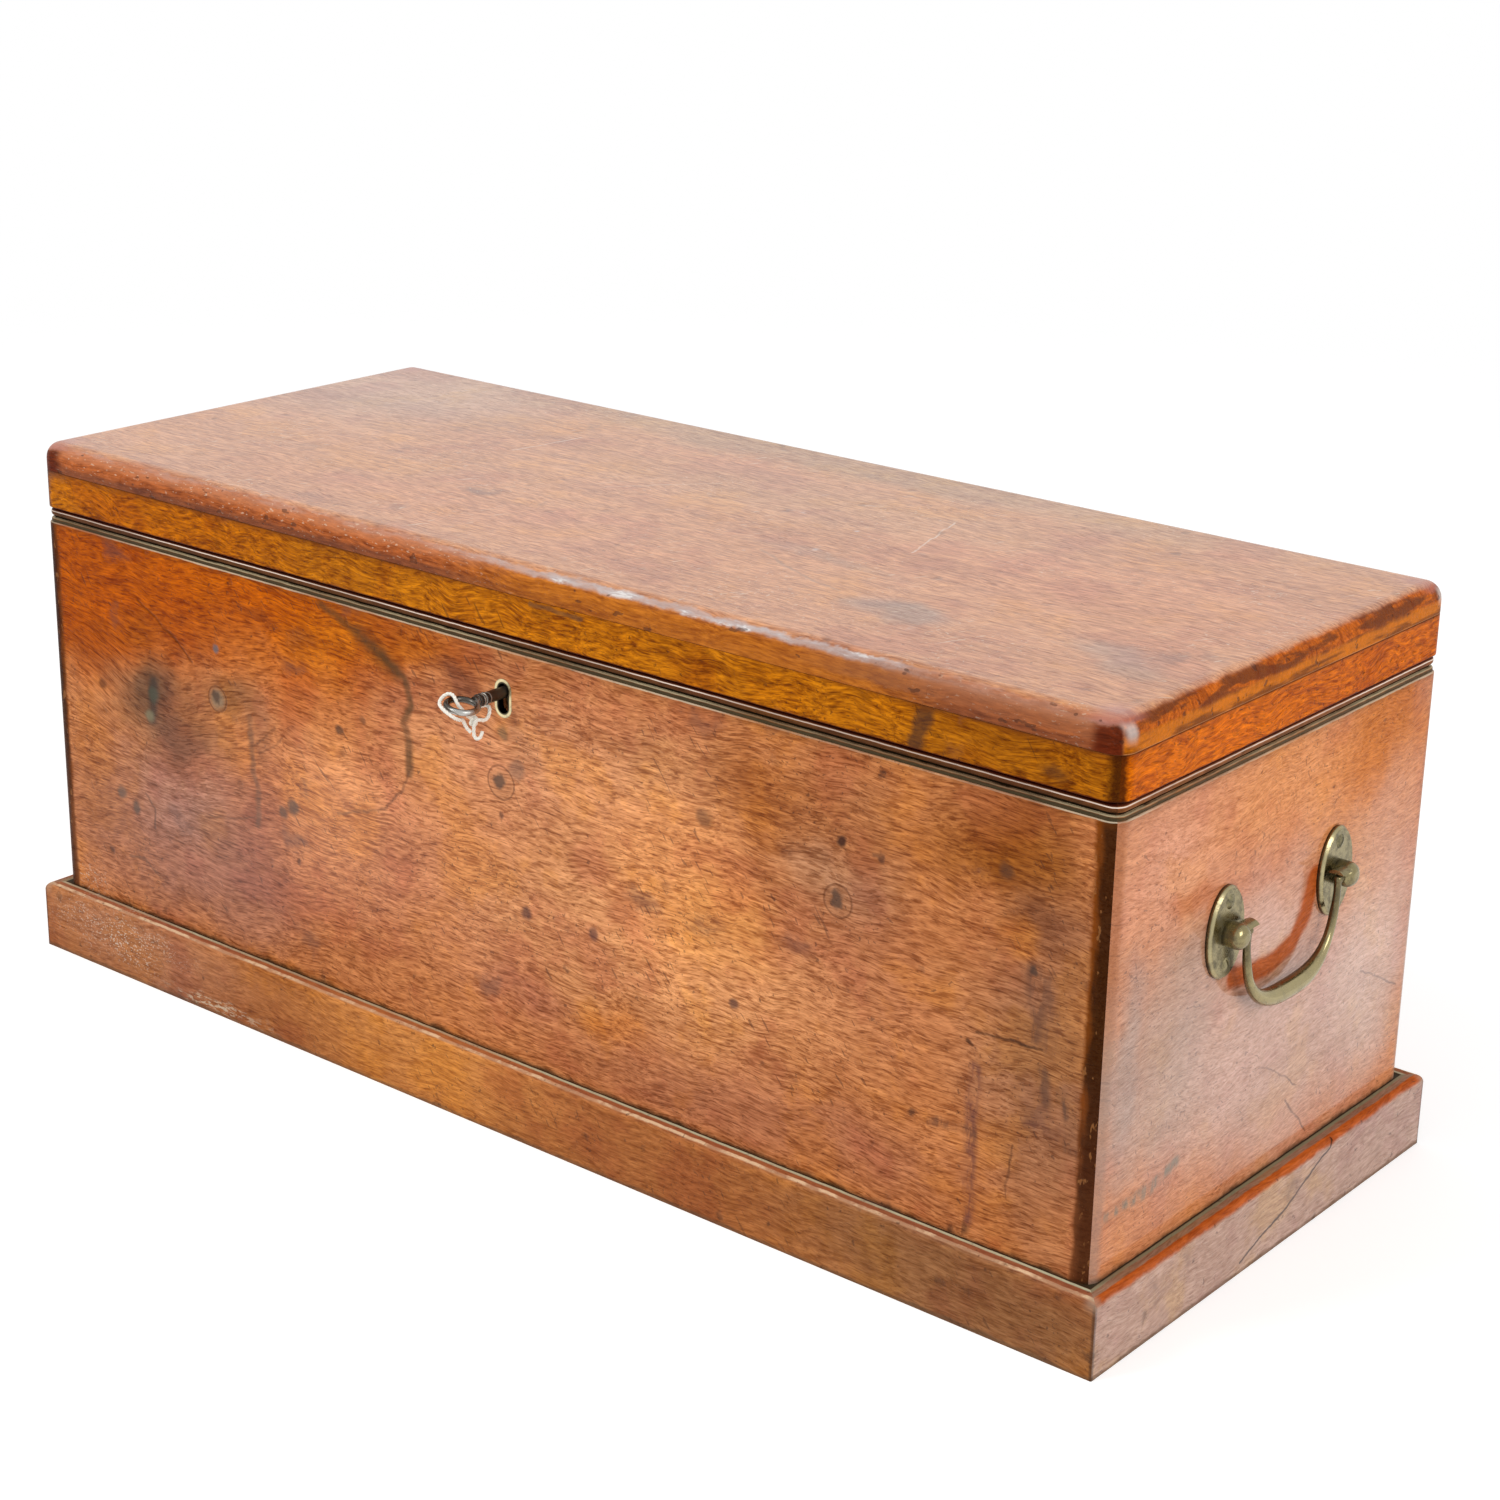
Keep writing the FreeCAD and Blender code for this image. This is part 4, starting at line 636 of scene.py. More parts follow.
def lidRail(side):
    coat = timber("lidRail" + side, forSide(rail, side))
    long = runs[side] == "x"
    curl = noise(coat.grain, (90, 260, 260) if long else (260, 90, 260), 3, 0.6).rise(0.58, 0.66)
    coat.tint(curl * 0.35, (84, 38, 4))
    if side == "Front":
        smear = away(coat.stray(60, 0.008), "xz", [(256, 286), (250, 268)]).fall(0.002, 0.006)
        coat.tint(smear * 0.75, (70, 46, 36))
        coat.tint(cloud(coat.stray(60, 0.01), "xz", (322, 274), (12, 5)) * 0.6, (78, 44, 28))
        grey = away(coat.stray(60, 0.006), "xz", [(20, 285), (52, 284.2)]).fall(0.0006, 0.0018)
        coat.tint(grey * 0.6, (98, 70, 50))
    overX, overY = lidEnd - abs(coat.x), lidHalf - abs(coat.y - lidMiddle)
    outside = overX.least(overY).fall(0.0025, 0.0050)
    sheltered = 1 - coat.x.band(-0.06, 0.03, 0.20, 0.26) * 0.8 if side == "Front" else 1.0
    seam = coat.z.rise(railTop - 0.0007, railTop - 0.0002)
    coat.tint(seam * sheltered * 0.6, (74, 44, 30))
    under = (coat.z + coat.ragged * 0.004).rise(railTop - 0.0040, railTop - 0.0008)
    coat.tint(under * sheltered * (0.50 if long else 0.15), (116, 56, 10))
    # painted shade: the lowest strip of the rail's face is dark maroon, as part of the shadow gap over the rim
    # bead
    lower = (coat.z + coat.ragged * 0.0016).fall(lidFoot + 0.0002, lidFoot + 0.0012) * outside
    coat.tint(lower * 0.90, (70, 8, 8))
    knocks(coat, (66, 34, 16), 0.85)
    ragged = coat.ragged * 0.006
    corner = (overX.most(overY) + ragged).fall(0.0040, 0.0100 if long else 0.0070)
    coat.tint(corner * 0.88, (52, 16, 4))
    inside(coat, overX.least(overY).rise(boardDeep - 0.0010, boardDeep - 0.0002))
    return coat.close()


# rim bead: dark olive brown, with grime and painted shade black in the quirk, painted shade in the gap under the
# lid, and a painted highlight along its ridge
bead = {
    "rough": 0.40, "contrast": 3.6, "colour": (104, 62, 34), "low": (0.45, 0.42, 0.38),
    "high": (1.5, 1.5, 1.5), "dash": 0.4, "pore": 0.3,
    "shifts": dict.fromkeys(runs, (0.3, 0.2, 0.1)), "ends": {"colour": (150, 90, 48)},
}


def rimBead(side):
    coat = timber("rimBead" + side, forSide(bead, side))
    high = coat.z + coat.ragged * 0.0006
    fillet, quirk = boardTop + 0.0022, boardTop + 0.0032
    sill = high.fall(fillet - 0.0008, fillet - 0.0004)
    coat.tint(sill * 0.80, (58, 58, 42))
    arris = high.band(fillet - 0.0005, fillet - 0.0002, fillet, fillet + 0.0002)
    coat.tint(arris * (0.2 + coat.cloudy.rise(0.35, 0.60) * 0.6), (196, 182, 146))
    # grime and painted shade: the quirk made near black
    quirkShadeAndDirt = high.band(fillet, fillet + 0.0002, quirk + 0.0004, quirk + 0.0010)
    coat.tint(quirkShadeAndDirt * 0.95, (16, 14, 8))
    lowHalf = high.band(quirk + 0.0008, quirk + 0.0012, rimTop - 0.0024, rimTop - 0.0019)
    coat.tint(lowHalf * 0.4, (70, 46, 26))
    # painted highlight: a pale line along the bead's ridge
    ridgeHighlight = high.band(rimTop - 0.0018, rimTop - 0.0016, rimTop - 0.0013, rimTop - 0.0011)
    coat.tint(ridgeHighlight * (0.60 + coat.cloudy.rise(0.40, 0.60) * 0.4), (244, 224, 208))
    alongX, alongY = fromCorner(coat)
    outside = alongX.least(alongY).fall(0.0030, 0.0055)
    # painted shade: dark maroon along the outside of the bead's top, as the shadow gap under the lid
    lidGapShade = high.rise(rimTop - 0.0011, rimTop - 0.0007) * outside
    coat.tint(lidGapShade * 0.9, (58, 8, 8))
    coat.tint((1 - outside) * 0.7, blend(coat.tone, (92, 48, 24), (142, 86, 48)))
    coat.rough += quirkShadeAndDirt * 0.3
    return coat.close()


# plinth: browner, dusty on its ledge, with grime and painted shade in the crease at the carcase, and a painted
# highlight along the rounded edge of its front and back, broken up by wear
plinth = {
    "rough": 0.46, "contrast": 4.4, "haze": 0.1, "hazeRough": 0.3, "colour": (170, 104, 54),
    "low": (0.62, 0.50, 0.38), "high": (1.36, 1.46, 1.60), "dash": 0.5, "pore": 0.42,
    "patches": [
        ((-280, 20), (120, 50), (174, 114, 78), 0.7, 0.1), ((-50, 20), (130, 50), (206, 134, 66), 0.8),
        ((300, 20), (150, 60), (142, 95, 58), 0.9),
    ],
    "shifts": {"Front": (0.7, 0.1, 0.2), "Back": (0.2, 0.9, 0.3), "Left": (0, 0.3, 0.6),
               "Right": (0.5, 0.6, 0.1)},
    "ends": {"colour": (186, 147, 127), "patches": (), "haze": 0.6, "hazeRough": 0.14, "hazeIndex": 1.6,
             "low": (0.72, 0.62, 0.54), "high": (1.22, 1.28, 1.34)},
}


def plinthStrip(side):
    coat = timber("plinth" + side, forSide(plinth, side))
    long = runs[side] == "x"
    ragged = coat.ragged * 0.004
    overX, overY = plinthEnd - abs(coat.x), plinthHalf - abs(coat.y - plinthMiddle)
    out = plinthDeep - overX.least(overY)       # 0 at the carcase
    ledge = coat.z.rise(plinthTop - 0.0012, plinthTop - 0.0004)
    dusty = coat.cloudy.rise(0.38, 0.62)
    coat.tint(ledge * 0.55, (150, 84, 62) if long else (120, 84, 50))
    dust = (out + ragged * 0.3).band(0.0008, 0.0012, 0.0022, 0.0032) * ledge
    coat.tint(dust * (0.45 + dusty * 0.45), (196, 198, 166) if long else (132, 130, 102))
    # grime and painted shade: a near black crease where the ledge meets the carcase
    creaseShadeAndDirt = (out + ragged * 0.2).fall(0.0006, 0.0013) * ledge
    coat.tint(creaseShadeAndDirt * 0.92, (30, 32, 22))
    rounded = (out + ragged * 0.6).rise(0.0056, 0.0064) * \
        (coat.z + ragged).rise(plinthTop - 0.0040, plinthTop - 0.0016)
    if long:
        # painted highlight: a pale line where the edge starts to round over, broken up by the wear noise
        ridgeHighlight = (out + ragged * 0.6).band(0.0056, 0.0062, 0.0072, 0.0082) * \
            coat.z.rise(plinthTop - 0.0026, plinthTop - 0.0016)
        coat.tint(ridgeHighlight * (0.30 + coat.worn.rise(0.42, 0.58) * 0.60), (228, 196, 158))
    else:
        coat.tint(rounded * 0.90, blend(coat.tone, (150, 60, 6), (206, 96, 16)))
        coat.haze *= 1 - rounded
    if side == "Front":
        chalk = cloud(coat.stray(30, 0.04), "xz", (-300, 24), (85, 20), 0.0)
        flour = coat.noise((620, 900, 900), 2, 0.6).rise(0.56, 0.64)
        coat.tint(chalk * flour * 0.75, (222, 206, 188))
        scuffs = cloud(coat.stray(60, 0.02), "xz", (-215, 4), (60, 6), 0.1)
        flakes = coat.noise((150, 400, 700), 3, 0.7).rise(0.50, 0.58)
        coat.tint(scuffs * flakes * 0.75, (216, 196, 168))
    if side == "Right":
        line = [(72, 38), (69, 35), (30, 19), (-12, 6)]
        crack = away(coat.stray(60, 0.005), "yz", line).fall(0.0003, 0.0010)
        coat.tint(crack * 0.85, (52, 28, 16))
        coat.height -= crack * 3
    foot = (coat.z + ragged).fall(0.0008, 0.0030)
    coat.tint(foot * 0.6, (92, 76, 60))
    corner = (overX.most(overY) + ragged * 0.3).fall(0.0006, 0.0022)
    coat.tint(corner * 0.7, (66, 44, 34))
    tip = (overX.most(overY) + ragged).fall(0.002, 0.008) * coat.z.rise(plinthTop - 0.008, plinthTop - 0.001)
    coat.tint(tip * 0.5, (176, 150, 128))
    knocks(coat, (78, 50, 36), 0.9)
    coat.rough += ledge * 0.2 + foot * 0.1
    coat.haze *= (1 - ledge) * (1 - foot)
    return coat.close()


# bottom and glue blocks, never polished
inner = {
    "along": "x", "rough": 0.70, "contrast": 3.6, "shine": 0.3, "colour": (158, 108, 68),
    "low": (0.60, 0.52, 0.44), "high": (1.3, 1.36, 1.4), "dash": 0.4, "pore": 0.3,
}


def innerTimber():
    coat = timber("innerTimber", inner)
    knocks(coat, (92, 60, 40), 0.5)
    coat.tint(coat.cloudy.rise(0.5, 0.7) * 0.35, (128, 112, 92))
    return coat.close()


# metals: a bright colour under patina, rubbed back where hands and wear reach
metals = {
    "handle": {"bright": (146, 134, 98), "patina": (92, 83, 58), "deep": (42, 37, 26), "rough": 0.20,
               "share": 0.66, "mottle": 0.35},
    "brass": {"bright": (214, 190, 130), "patina": (140, 116, 70), "deep": (78, 62, 38), "rough": 0.30,
              "share": 0.45, "mottle": 1.0},
    "screw": {"bright": (150, 140, 106), "patina": (84, 78, 56), "deep": (34, 30, 22), "rough": 0.34,
              "share": 0.70, "mottle": 1.0},
    "steel": {"bright": (150, 146, 140), "patina": (104, 98, 90), "deep": (58, 50, 44), "rough": 0.36,
              "share": 0.50, "mottle": 1.0},
    "key": {"bright": (128, 124, 116), "patina": (84, 78, 70), "deep": (38, 32, 26), "rough": 0.20,
            "share": 0.40, "mottle": 0.2},
}


def metal(name, look, rub=None):
    coat = Finish(name, metal=1.0)
    coarse = coat.noise((170, 170, 170), 4, 0.62)
    fine = coat.noise((1100, 1100, 1100), 3, 0.6)
    pits = coat.noise((2400, 2400, 2400), 1, 0.5).rise(0.64, 0.72)
    mottle = look["mottle"]
    film = (coarse * (1 - 0.3 * mottle) + fine * 0.3 * mottle).rise(0.40, 0.60)
    if rub:
        film = film * (1 - rub(coat) * 0.6)
    coat.colour = blend(film * look["share"], look["bright"], look["patina"])
    dark = (coarse * (1 - 0.5 * mottle) + fine * 0.5 * mottle).rise(0.54, 0.66) * (0.4 + 0.6 * mottle)
    coat.tint(dark * look["share"], look["deep"])
    coat.tint(pits * 0.5, look["deep"])
    coat.rough = film * 0.14 + dark * 0.2 + (fine - 0.5) * 0.12 + look["rough"]
    coat.metal = 1.0 - film * 0.25 * look["share"] - dark * 0.45
    coat.height = (coarse * 0.5 + fine * 0.25 - pits * 0.7 - dark * 0.3) * mottle
    coat.ragged = coarse - 0.5
    return coat


def handlePlate():
    coat = metal("handlePlate", metals["handle"], lambda made: (abs(made.x) - endFace).rise(0.0080, 0.0125))
    proud = abs(coat.x) - endFace
    # painted highlight: a pale ring along the plate's rim
    coat.tint(proud.band(0.0016, 0.0022, 0.0026, 0.0031) * 0.5, (190, 178, 138))
    coat.tint(proud.band(0.0030, 0.0031, 0.0034, 0.0055) * 0.65, (34, 32, 24))
    coat.tint(proud.fall(0.0004, 0.0014) * 0.8, (30, 24, 16))
    return coat.close(0.0003, 0.5)


def bailMetal():
    coat = metal("bailMetal", dict(metals["handle"], share=0.62, rough=0.18),
                 lambda made: made.z.fall(0.138, 0.160))
    # painted highlight along the bail's outer face
    outer = (abs(coat.x) + coat.ragged * 0.002).rise(bailOut + 0.0010, bailOut + 0.0024)
    coat.tint(outer * 0.50, (178, 164, 122))
    # painted shade under the bail's bend
    coat.tint(coat.z.fall(0.1338, 0.1362) * 0.75, (44, 36, 22))
    # painted shade and patina: darker towards the sockets
    coat.tint(coat.z.rise(0.150, 0.172) * 0.50, (52, 42, 30))
    # painted shade and grime on the side facing the end board
    innerShadeAndGrime = (abs(coat.x) + coat.ragged * 0.003).fall(bailOut - 0.0024, bailOut + 0.0004)
    coat.tint(innerShadeAndGrime * 0.85, (34, 27, 18))
    return coat.close(0.0003, 0.5)


def escutcheonMetal():
    coat = metal("escutcheonMetal", metals["brass"])
    hole = away(coat.place, "xz", [(0, keyAxis.z * 1000 + 1.2), (0, keyAxis.z * 1000 - 7.4)])
    coat.tint(0.55, (232, 222, 184))
    # painted shade: the keyhole made near black
    coat.tint((hole + (coat.height * 0.0004)).fall(0.0040, 0.0046) * 0.94, (14, 10, 8))
    coat.tint(hole.rise(0.0052, 0.0057) * 0.5, (92, 84, 58))
    # painted shade: what lies behind the front face is near black
    coat.tint((coat.y - frontFace).rise(0.0002, 0.0010) * 0.92, (14, 10, 8))
    return coat.close(0.0003, 0.4)


def keyMetal():
    coat = metal("keyMetal", metals["key"])
    out = frontFace - coat.y                    # metres out from the front
    shank = out.fall(0.0104, 0.0116)
    coat.tint(shank * 0.88, blend(coat.metal, (40, 30, 23), (68, 54, 41)))
    neck = out.band(0.0102, 0.0110, 0.0180, 0.0200)
    # painted highlights: pale bands on the neck's rings over the dark brown steel
    ringHighlights = (out * 4200).sine().rise(0.55, 0.95)
    coat.tint(neck * 0.85, blend(ringHighlights, (52, 40, 34), (190, 182, 172)))
    bow = out.rise(0.0180, 0.0200)
    # painted shade and reflection: the bow darker towards its top
    coat.tint(bow * (coat.z - keyAxis.z).rise(-0.0030, 0.0024) * 0.70, (52, 48, 44))
    # painted highlight: a pale line along the bow's outer rim on its near side
    radius = vector("DISTANCE", coat.place, (keyAxis.x, frontFace - 0.0287, keyAxis.z), output=1)
    coat.tint(bow * radius.rise(0.0075, 0.0082) * coat.x.rise(0.0, 0.003) * 0.6, (206, 206, 202))
    coat.rough += shank * 0.16 + neck * 0.05
    return coat.close(0.0002, 0.4)


def plainMetal(name, look):
    return metal(name, metals[look]).close(0.0003, 0.5)


# cotton string, off white, a little soiled where it is handled
def cottonFinish():
    coat = Finish("cotton", rough=0.85, shine=0.25)
    fuzz = coat.noise((2600, 2600, 2600), 3, 0.6)
    soil = coat.noise((160, 160, 160), 3, 0.6).rise(0.5, 0.72)
    coat.colour = blend(fuzz.rise(0.35, 0.6), (236, 231, 214), (254, 252, 244))
    coat.tint(soil * 0.20, (206, 190, 158))
    coat.height = fuzz
    return coat.close(0.0003, 0.6)


cotton = cottonFinish()
print("box: finishes defined")

# string on the key: places from the key's axis at the front face, in metres across, out and up;
# plyShare is a ply's radius over the string's, lay is the length of one turn of the plies
string = {
    "thick": 0.0019, "length": 0.1089, "plies": 3, "plyShare": 0.58, "lay": 0.0062,
    "sides": 8, "step": 0.00035,
    "route": [
        (0.0042, 0.0190, -0.0144), (0.0045, 0.0198, -0.0166), (0.0030, 0.0208, -0.0183),
        (0.0011, 0.0214, -0.0175), (0.0009, 0.0216, -0.0144), (0.0011, 0.0214, -0.0102),
        (0.0020, 0.0192, -0.0086), (0.0029, 0.0160, -0.0101), (0.0032, 0.0130, -0.0083),
        (0.0015, 0.0106, -0.0043), (-0.0032, 0.0098, -0.0046), (-0.0050, 0.0136, -0.0060),
        (-0.0026, 0.0184, -0.0094), (-0.0008, 0.0232, -0.0072), (0.0004, 0.0276, -0.0028),
        (0.0004, 0.0316, 0.0013), (-0.0046, 0.0294, 0.0053), (-0.0100, 0.0292, 0.0044),
        (-0.0081, 0.0364, 0.0022), (-0.0019, 0.0397, 0.0007), (0.0045, 0.0391, -0.0020),
        (0.0046, 0.0346, -0.0048), (0.0025, 0.0304, -0.0057), (0.0014, 0.0280, -0.0095),
        (0.0022, 0.0266, -0.0121), (0.0034, 0.0259, -0.0132),
    ],
    "knotWide": 0.00068, "knotHigh": 0.00105, "knotPoints": 72, "knotBetween": (5, 12),
}


def collect(item):
    bpy.context.scene.collection.objects.link(item)
    return item


def settle(item, name):                         # the evaluated object as a plain mesh piece
    bpy.context.view_layer.update()
    graph = bpy.context.evaluated_depsgraph_get()
    mesh = bpy.data.meshes.new_from_object(item.evaluated_get(graph), preserve_all_data_layers=True,
                                           depsgraph=graph)
    mesh.name = name
    bpy.data.objects.remove(item)
    return collect(bpy.data.objects.new(name, mesh))


def newTree(name, inputs):
    tree = bpy.data.node_groups.new(name, "GeometryNodeTree")
    tree.interface.new_socket("Geometry", in_out="INPUT", socket_type="NodeSocketGeometry")
    sockets = {}
    for label, (kind, value) in inputs.items():
        socket = tree.interface.new_socket(label, in_out="INPUT", socket_type=kind)
        if value is not None:
            socket.default_value = value
        sockets[label] = socket.identifier
    tree.interface.new_socket("Geometry", in_out="OUTPUT", socket_type="NodeSocketGeometry")
    entry = tree.nodes.new("NodeGroupInput")
    return tree, {socket.name: Wire(tree, socket) for socket in entry.outputs if socket.name}, sockets


def closeTree(tree, geometry, material):
    real = wire(tree, "GeometryNodeRealizeInstances", {}, {0: geometry})
    done = wire(tree, "GeometryNodeSetMaterial", {}, {"Geometry": real, "Material": material})
    output(tree, "NodeGroupOutput", done)


def grow(item, tree, sockets, values, name):    # run a tree on an object and keep the result
    modifier = item.modifiers.new(tree.name, "NODES")
    modifier.node_group = tree
    for label, value in values.items():
        modifier[sockets[label]] = value
    return settle(item, name)


def pliesTree(material):                        # twisted plies laid round a line
    tree, given, sockets = newTree("stringPlies", {
        "Plies": ("NodeSocketInt", 3), "Ply radius": ("NodeSocketFloat", 0.0004),
        "Lay radius": ("NodeSocketFloat", 0.0005), "Lay length": ("NodeSocketFloat", 0.006),
        "Step": ("NodeSocketFloat", 0.0004), "Sides": ("NodeSocketInt", 8)})
    line = wire(tree, "GeometryNodeMeshToCurve", {}, {"Mesh": given["Geometry"]})
    line = wire(tree, "GeometryNodeResampleCurve", {"mode": "LENGTH"},
                {"Curve": line, "Length": given["Step"]})
    copies = wire(tree, "GeometryNodeDuplicateElements", {"domain": "SPLINE"},
                  {"Geometry": line, "Amount": given["Plies"]})
    turn = copies.part(1) / given["Plies"] * math.tau
    travel = wire(tree, "GeometryNodeSplineParameter", output=1)
    angle = travel / given["Lay length"] * math.tau + turn
    heading = wire(tree, "GeometryNodeInputTangent")
    side = wire(tree, "GeometryNodeInputNormal")
    other = vector("CROSS_PRODUCT", heading, side)
    reach = given["Lay radius"]
    offset = vector("ADD", scaled(side, angle.cosine() * reach), scaled(other, angle.sine() * reach))
    moved = wire(tree, "GeometryNodeSetPosition", {}, {"Geometry": copies, "Offset": offset})
    ring = wire(tree, "GeometryNodeCurvePrimitiveCircle", {"mode": "RADIUS"},
                {"Resolution": given["Sides"], "Radius": given["Ply radius"]})
    tube = wire(tree, "GeometryNodeCurveToMesh", {},
                {"Curve": moved, "Profile Curve": ring, "Fill Caps": True})
    smooth = wire(tree, "GeometryNodeSetShadeSmooth", {}, {"Geometry": tube, "Shade Smooth": True})
    closeTree(tree, smooth, material)
    return tree, sockets


def lineObject(name, points, closed=False):
    mesh = bpy.data.meshes.new(name)
    last = len(points) - 1
    edges = [(number, number + 1) for number in range(last)] + ([(last, 0)] if closed else [])
    mesh.from_pydata([tuple(point) for point in points], edges, [])
    return collect(bpy.data.objects.new(name, mesh))


def makeString(s):
    route = [Vector((keyAxis.x + across, keyAxis.y - out, keyAxis.z + up)) for across, out, up in s["route"]]
    curve = bpy.data.curves.new("stringRoute", "CURVE")
    curve.dimensions = "3D"
    curve.resolution_u = 12
    spline = curve.splines.new("NURBS")
    spline.points.add(len(route) - 1)
    for point, place in zip(spline.points, route):
        point.co = (*place, 1)
    spline.order_u = 3
    spline.use_endpoint_u = True
    guide = settle(collect(bpy.data.objects.new("stringRoute", curve)), "stringGuide")
    path = [vertex.co.copy() for vertex in guide.data.vertices]
    bpy.data.objects.remove(guide)
    tree, sockets = pliesTree(cotton)
    plyRadius = s["thick"] / 2 * s["plyShare"]
    values = {"Plies": s["plies"], "Ply radius": plyRadius, "Lay radius": s["thick"] / 2 - plyRadius,
              "Lay length": s["lay"], "Step": s["step"], "Sides": s["sides"]}
    piece = grow(lineObject("stringLine", path), tree, sockets, values, "keyString")
    centre = sum((route[index] for index in s["knotBetween"]), Vector()) / 2
    loops = []
    wide, high, count = s["knotWide"], s["knotHigh"], s["knotPoints"]
    for number in range(count):                 # a tight overhand tie
        turn = math.tau * number / count
        loops.append(centre + Vector((wide * (math.sin(turn) + 2 * math.sin(2 * turn)),
                                      -high * math.sin(3 * turn),
                                      wide * (math.cos(turn) - 2 * math.cos(2 * turn)))))
    knot = grow(lineObject("knotLine", loops, True), tree, sockets, values, "keyStringKnot")
    for item, node in ((piece, "key_string"), (knot, "string_knot")):
        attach(item, "key")
        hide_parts(node)
    [tuple(point) for point in path]
    print("box: string made,", len(piece.data.polygons), "faces")


makeString(string)

# domed screws of the handle plates, set out by a tree on one point for each screw
screws = {
    "head": 0.0035, "dome": 0.0011, "slotWide": 0.0008, "slotDeep": 0.0007, "body": 0.0018, "long": 0.012,
    "offset": 0.0152, "turns": (20, 65, 110, 150, 35, 80, 125, 5), "domeSteps": 8, "around": 28,
}


def screwShape(s):                              # turned head and body, then the slot is sawn
    mesh = bmesh.new()
    rise, wide = s["dome"], s["head"]
    ball = (wide * wide + rise * rise) / (2 * rise)
    profile = [(0.0, rise)]
    for step in range(1, s["domeSteps"] + 1):
        out = wide * step / s["domeSteps"]
        profile.append((out, math.sqrt(ball * ball - out * out) - ball + rise))
    profile += [(wide * 0.985, -0.0003), (s["body"], -0.0020), (s["body"], -s["long"]),
                (0.0, -s["long"] - 0.001)]
    angles = [math.tau * step / s["around"] for step in range(s["around"])]
    rows = []
    for out, high in profile:
        turns = angles if out else angles[:1]
        rows.append([mesh.verts.new((out * math.cos(turn), out * math.sin(turn), high)) for turn in turns])
    for upper, lower in zip(rows, rows[1:]):
        for step in range(s["around"]):
            follow = (step + 1) % s["around"]
            ring = [upper[step % len(upper)], lower[step % len(lower)],
                    lower[follow % len(lower)], upper[follow % len(upper)]]
            mesh.faces.new(list(dict.fromkeys(ring)))
    bmesh.ops.recalc_face_normals(mesh, faces=mesh.faces[:])
    data = bpy.data.meshes.new("screwBlank")
    mesh.to_mesh(data)
    mesh.free()
    blank = collect(bpy.data.objects.new("screwBlank", data))
    saw = bmesh.new()
    lift = Matrix.Translation((0, 0, s["dome"] - s["slotDeep"] / 2 + 0.0005))
    size = Matrix.Diagonal((s["head"] * 3, s["slotWide"], s["slotDeep"] + 0.001, 1))
    bmesh.ops.create_cube(saw, size=1, matrix=lift @ size)
    sawData = bpy.data.meshes.new("screwSaw")
    saw.to_mesh(sawData)
    saw.free()
    sawItem = collect(bpy.data.objects.new("screwSaw", sawData))
    cut = blank.modifiers.new("slot", "BOOLEAN")
    cut.operation, cut.object, cut.solver = "DIFFERENCE", sawItem, "EXACT"
    result = settle(blank, "screwShape")
    bpy.data.objects.remove(sawItem)
    return result


def makeScrews(s):
    shape = screwShape(s)
    spots, turns = [], []
    for sign, side in ((1, "right"), (-1, "left")):
        for where in ("front", "rear"):
            low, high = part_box("%s_handle_%s_plate" % (side, where))
            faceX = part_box("%s_handle_%s_screws" % (side, where))[1 if sign > 0 else 0].x
            middle = (low + high) / 2
            for step in (-1, 1):
                spots.append((faceX, middle.y, middle.z + step * s["offset"]))
                twist = Matrix.Rotation(math.radians(s["turns"][len(turns) % 8]), 3, "Z")
                turns.append((Matrix.Rotation(sign * math.pi / 2, 3, "Y") @ twist).to_euler())
    points = bpy.data.meshes.new("screwPoints")
    points.from_pydata(spots, [], [])
    given = points.attributes.new("turn", "FLOAT_VECTOR", "POINT")
    given.data.foreach_set("vector", [angle for turn in turns for angle in turn])
    item = collect(bpy.data.objects.new("screwPoints", points))
    tree, given, sockets = newTree("screwSetting", {"Shape": ("NodeSocketObject", None)})
    source = wire(tree, "GeometryNodeObjectInfo", {"transform_space": "ORIGINAL"}, {0: given["Shape"]}, 4)
    turn = wire(tree, "GeometryNodeInputNamedAttribute", {"data_type": "FLOAT_VECTOR"}, {"Name": "turn"})
    rotation = wire(tree, "FunctionNodeEulerToRotation", {}, {0: turn})
    points = wire(tree, "GeometryNodeMeshToPoints", {}, {"Mesh": given["Geometry"]})
    copies = wire(tree, "GeometryNodeInstanceOnPoints", {},
                  {"Points": points, "Instance": source, "Rotation": rotation})
    closeTree(tree, copies, plainMetal("screwMetal", "screw"))
    piece = grow(item, tree, sockets, {"Shape": shape}, "handleScrews")
    bpy.data.objects.remove(shape)
    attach(piece, "carcase")
    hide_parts(*["%s_handle_%s_screws" % (side, where)
                         for side in ("right", "left") for where in ("front", "rear")])
    print("box: handle screws set,", len(piece.data.polygons), "faces")


makeScrews(screws)

# every other node keeps its CAD shape and takes its finish
finishes = {
    "front_board": frontBoard(), "back_board": backBoard(),
    "right_end_board": endBoard("Right"), "left_end_board": endBoard("Left"),
    "lid_top_board": lidTopBoard(), "escutcheon": escutcheonMetal(), "key": keyMetal(),
    "right_bail": bailMetal(),
}
finishes["left_bail"] = finishes["right_bail"]
for side in ("Front", "Back", "Left", "Right"):
    finishes["lid_%s_rail" % side.lower()] = lidRail(side)
    finishes["rim_bead_" + side.lower()] = rimBead(side)
    finishes["plinth_" + side.lower()] = plinthStrip(side)
bySlot = {
    "inside_wood": innerTimber(), "handle_brass": handlePlate(), "brass": plainMetal("fittingBrass", "brass"),
    "steel": plainMetal("fittingSteel", "steel"), "cotton": cotton,
}
slotOf = {part["node"]: part["material_slot"] for part in frame["record"]["subparts"]}
for name, item in nodes.items():
    coat = finishes.get(name) or bySlot[slotOf[name]]
    for place in item.material_slots:
        place.material = coat
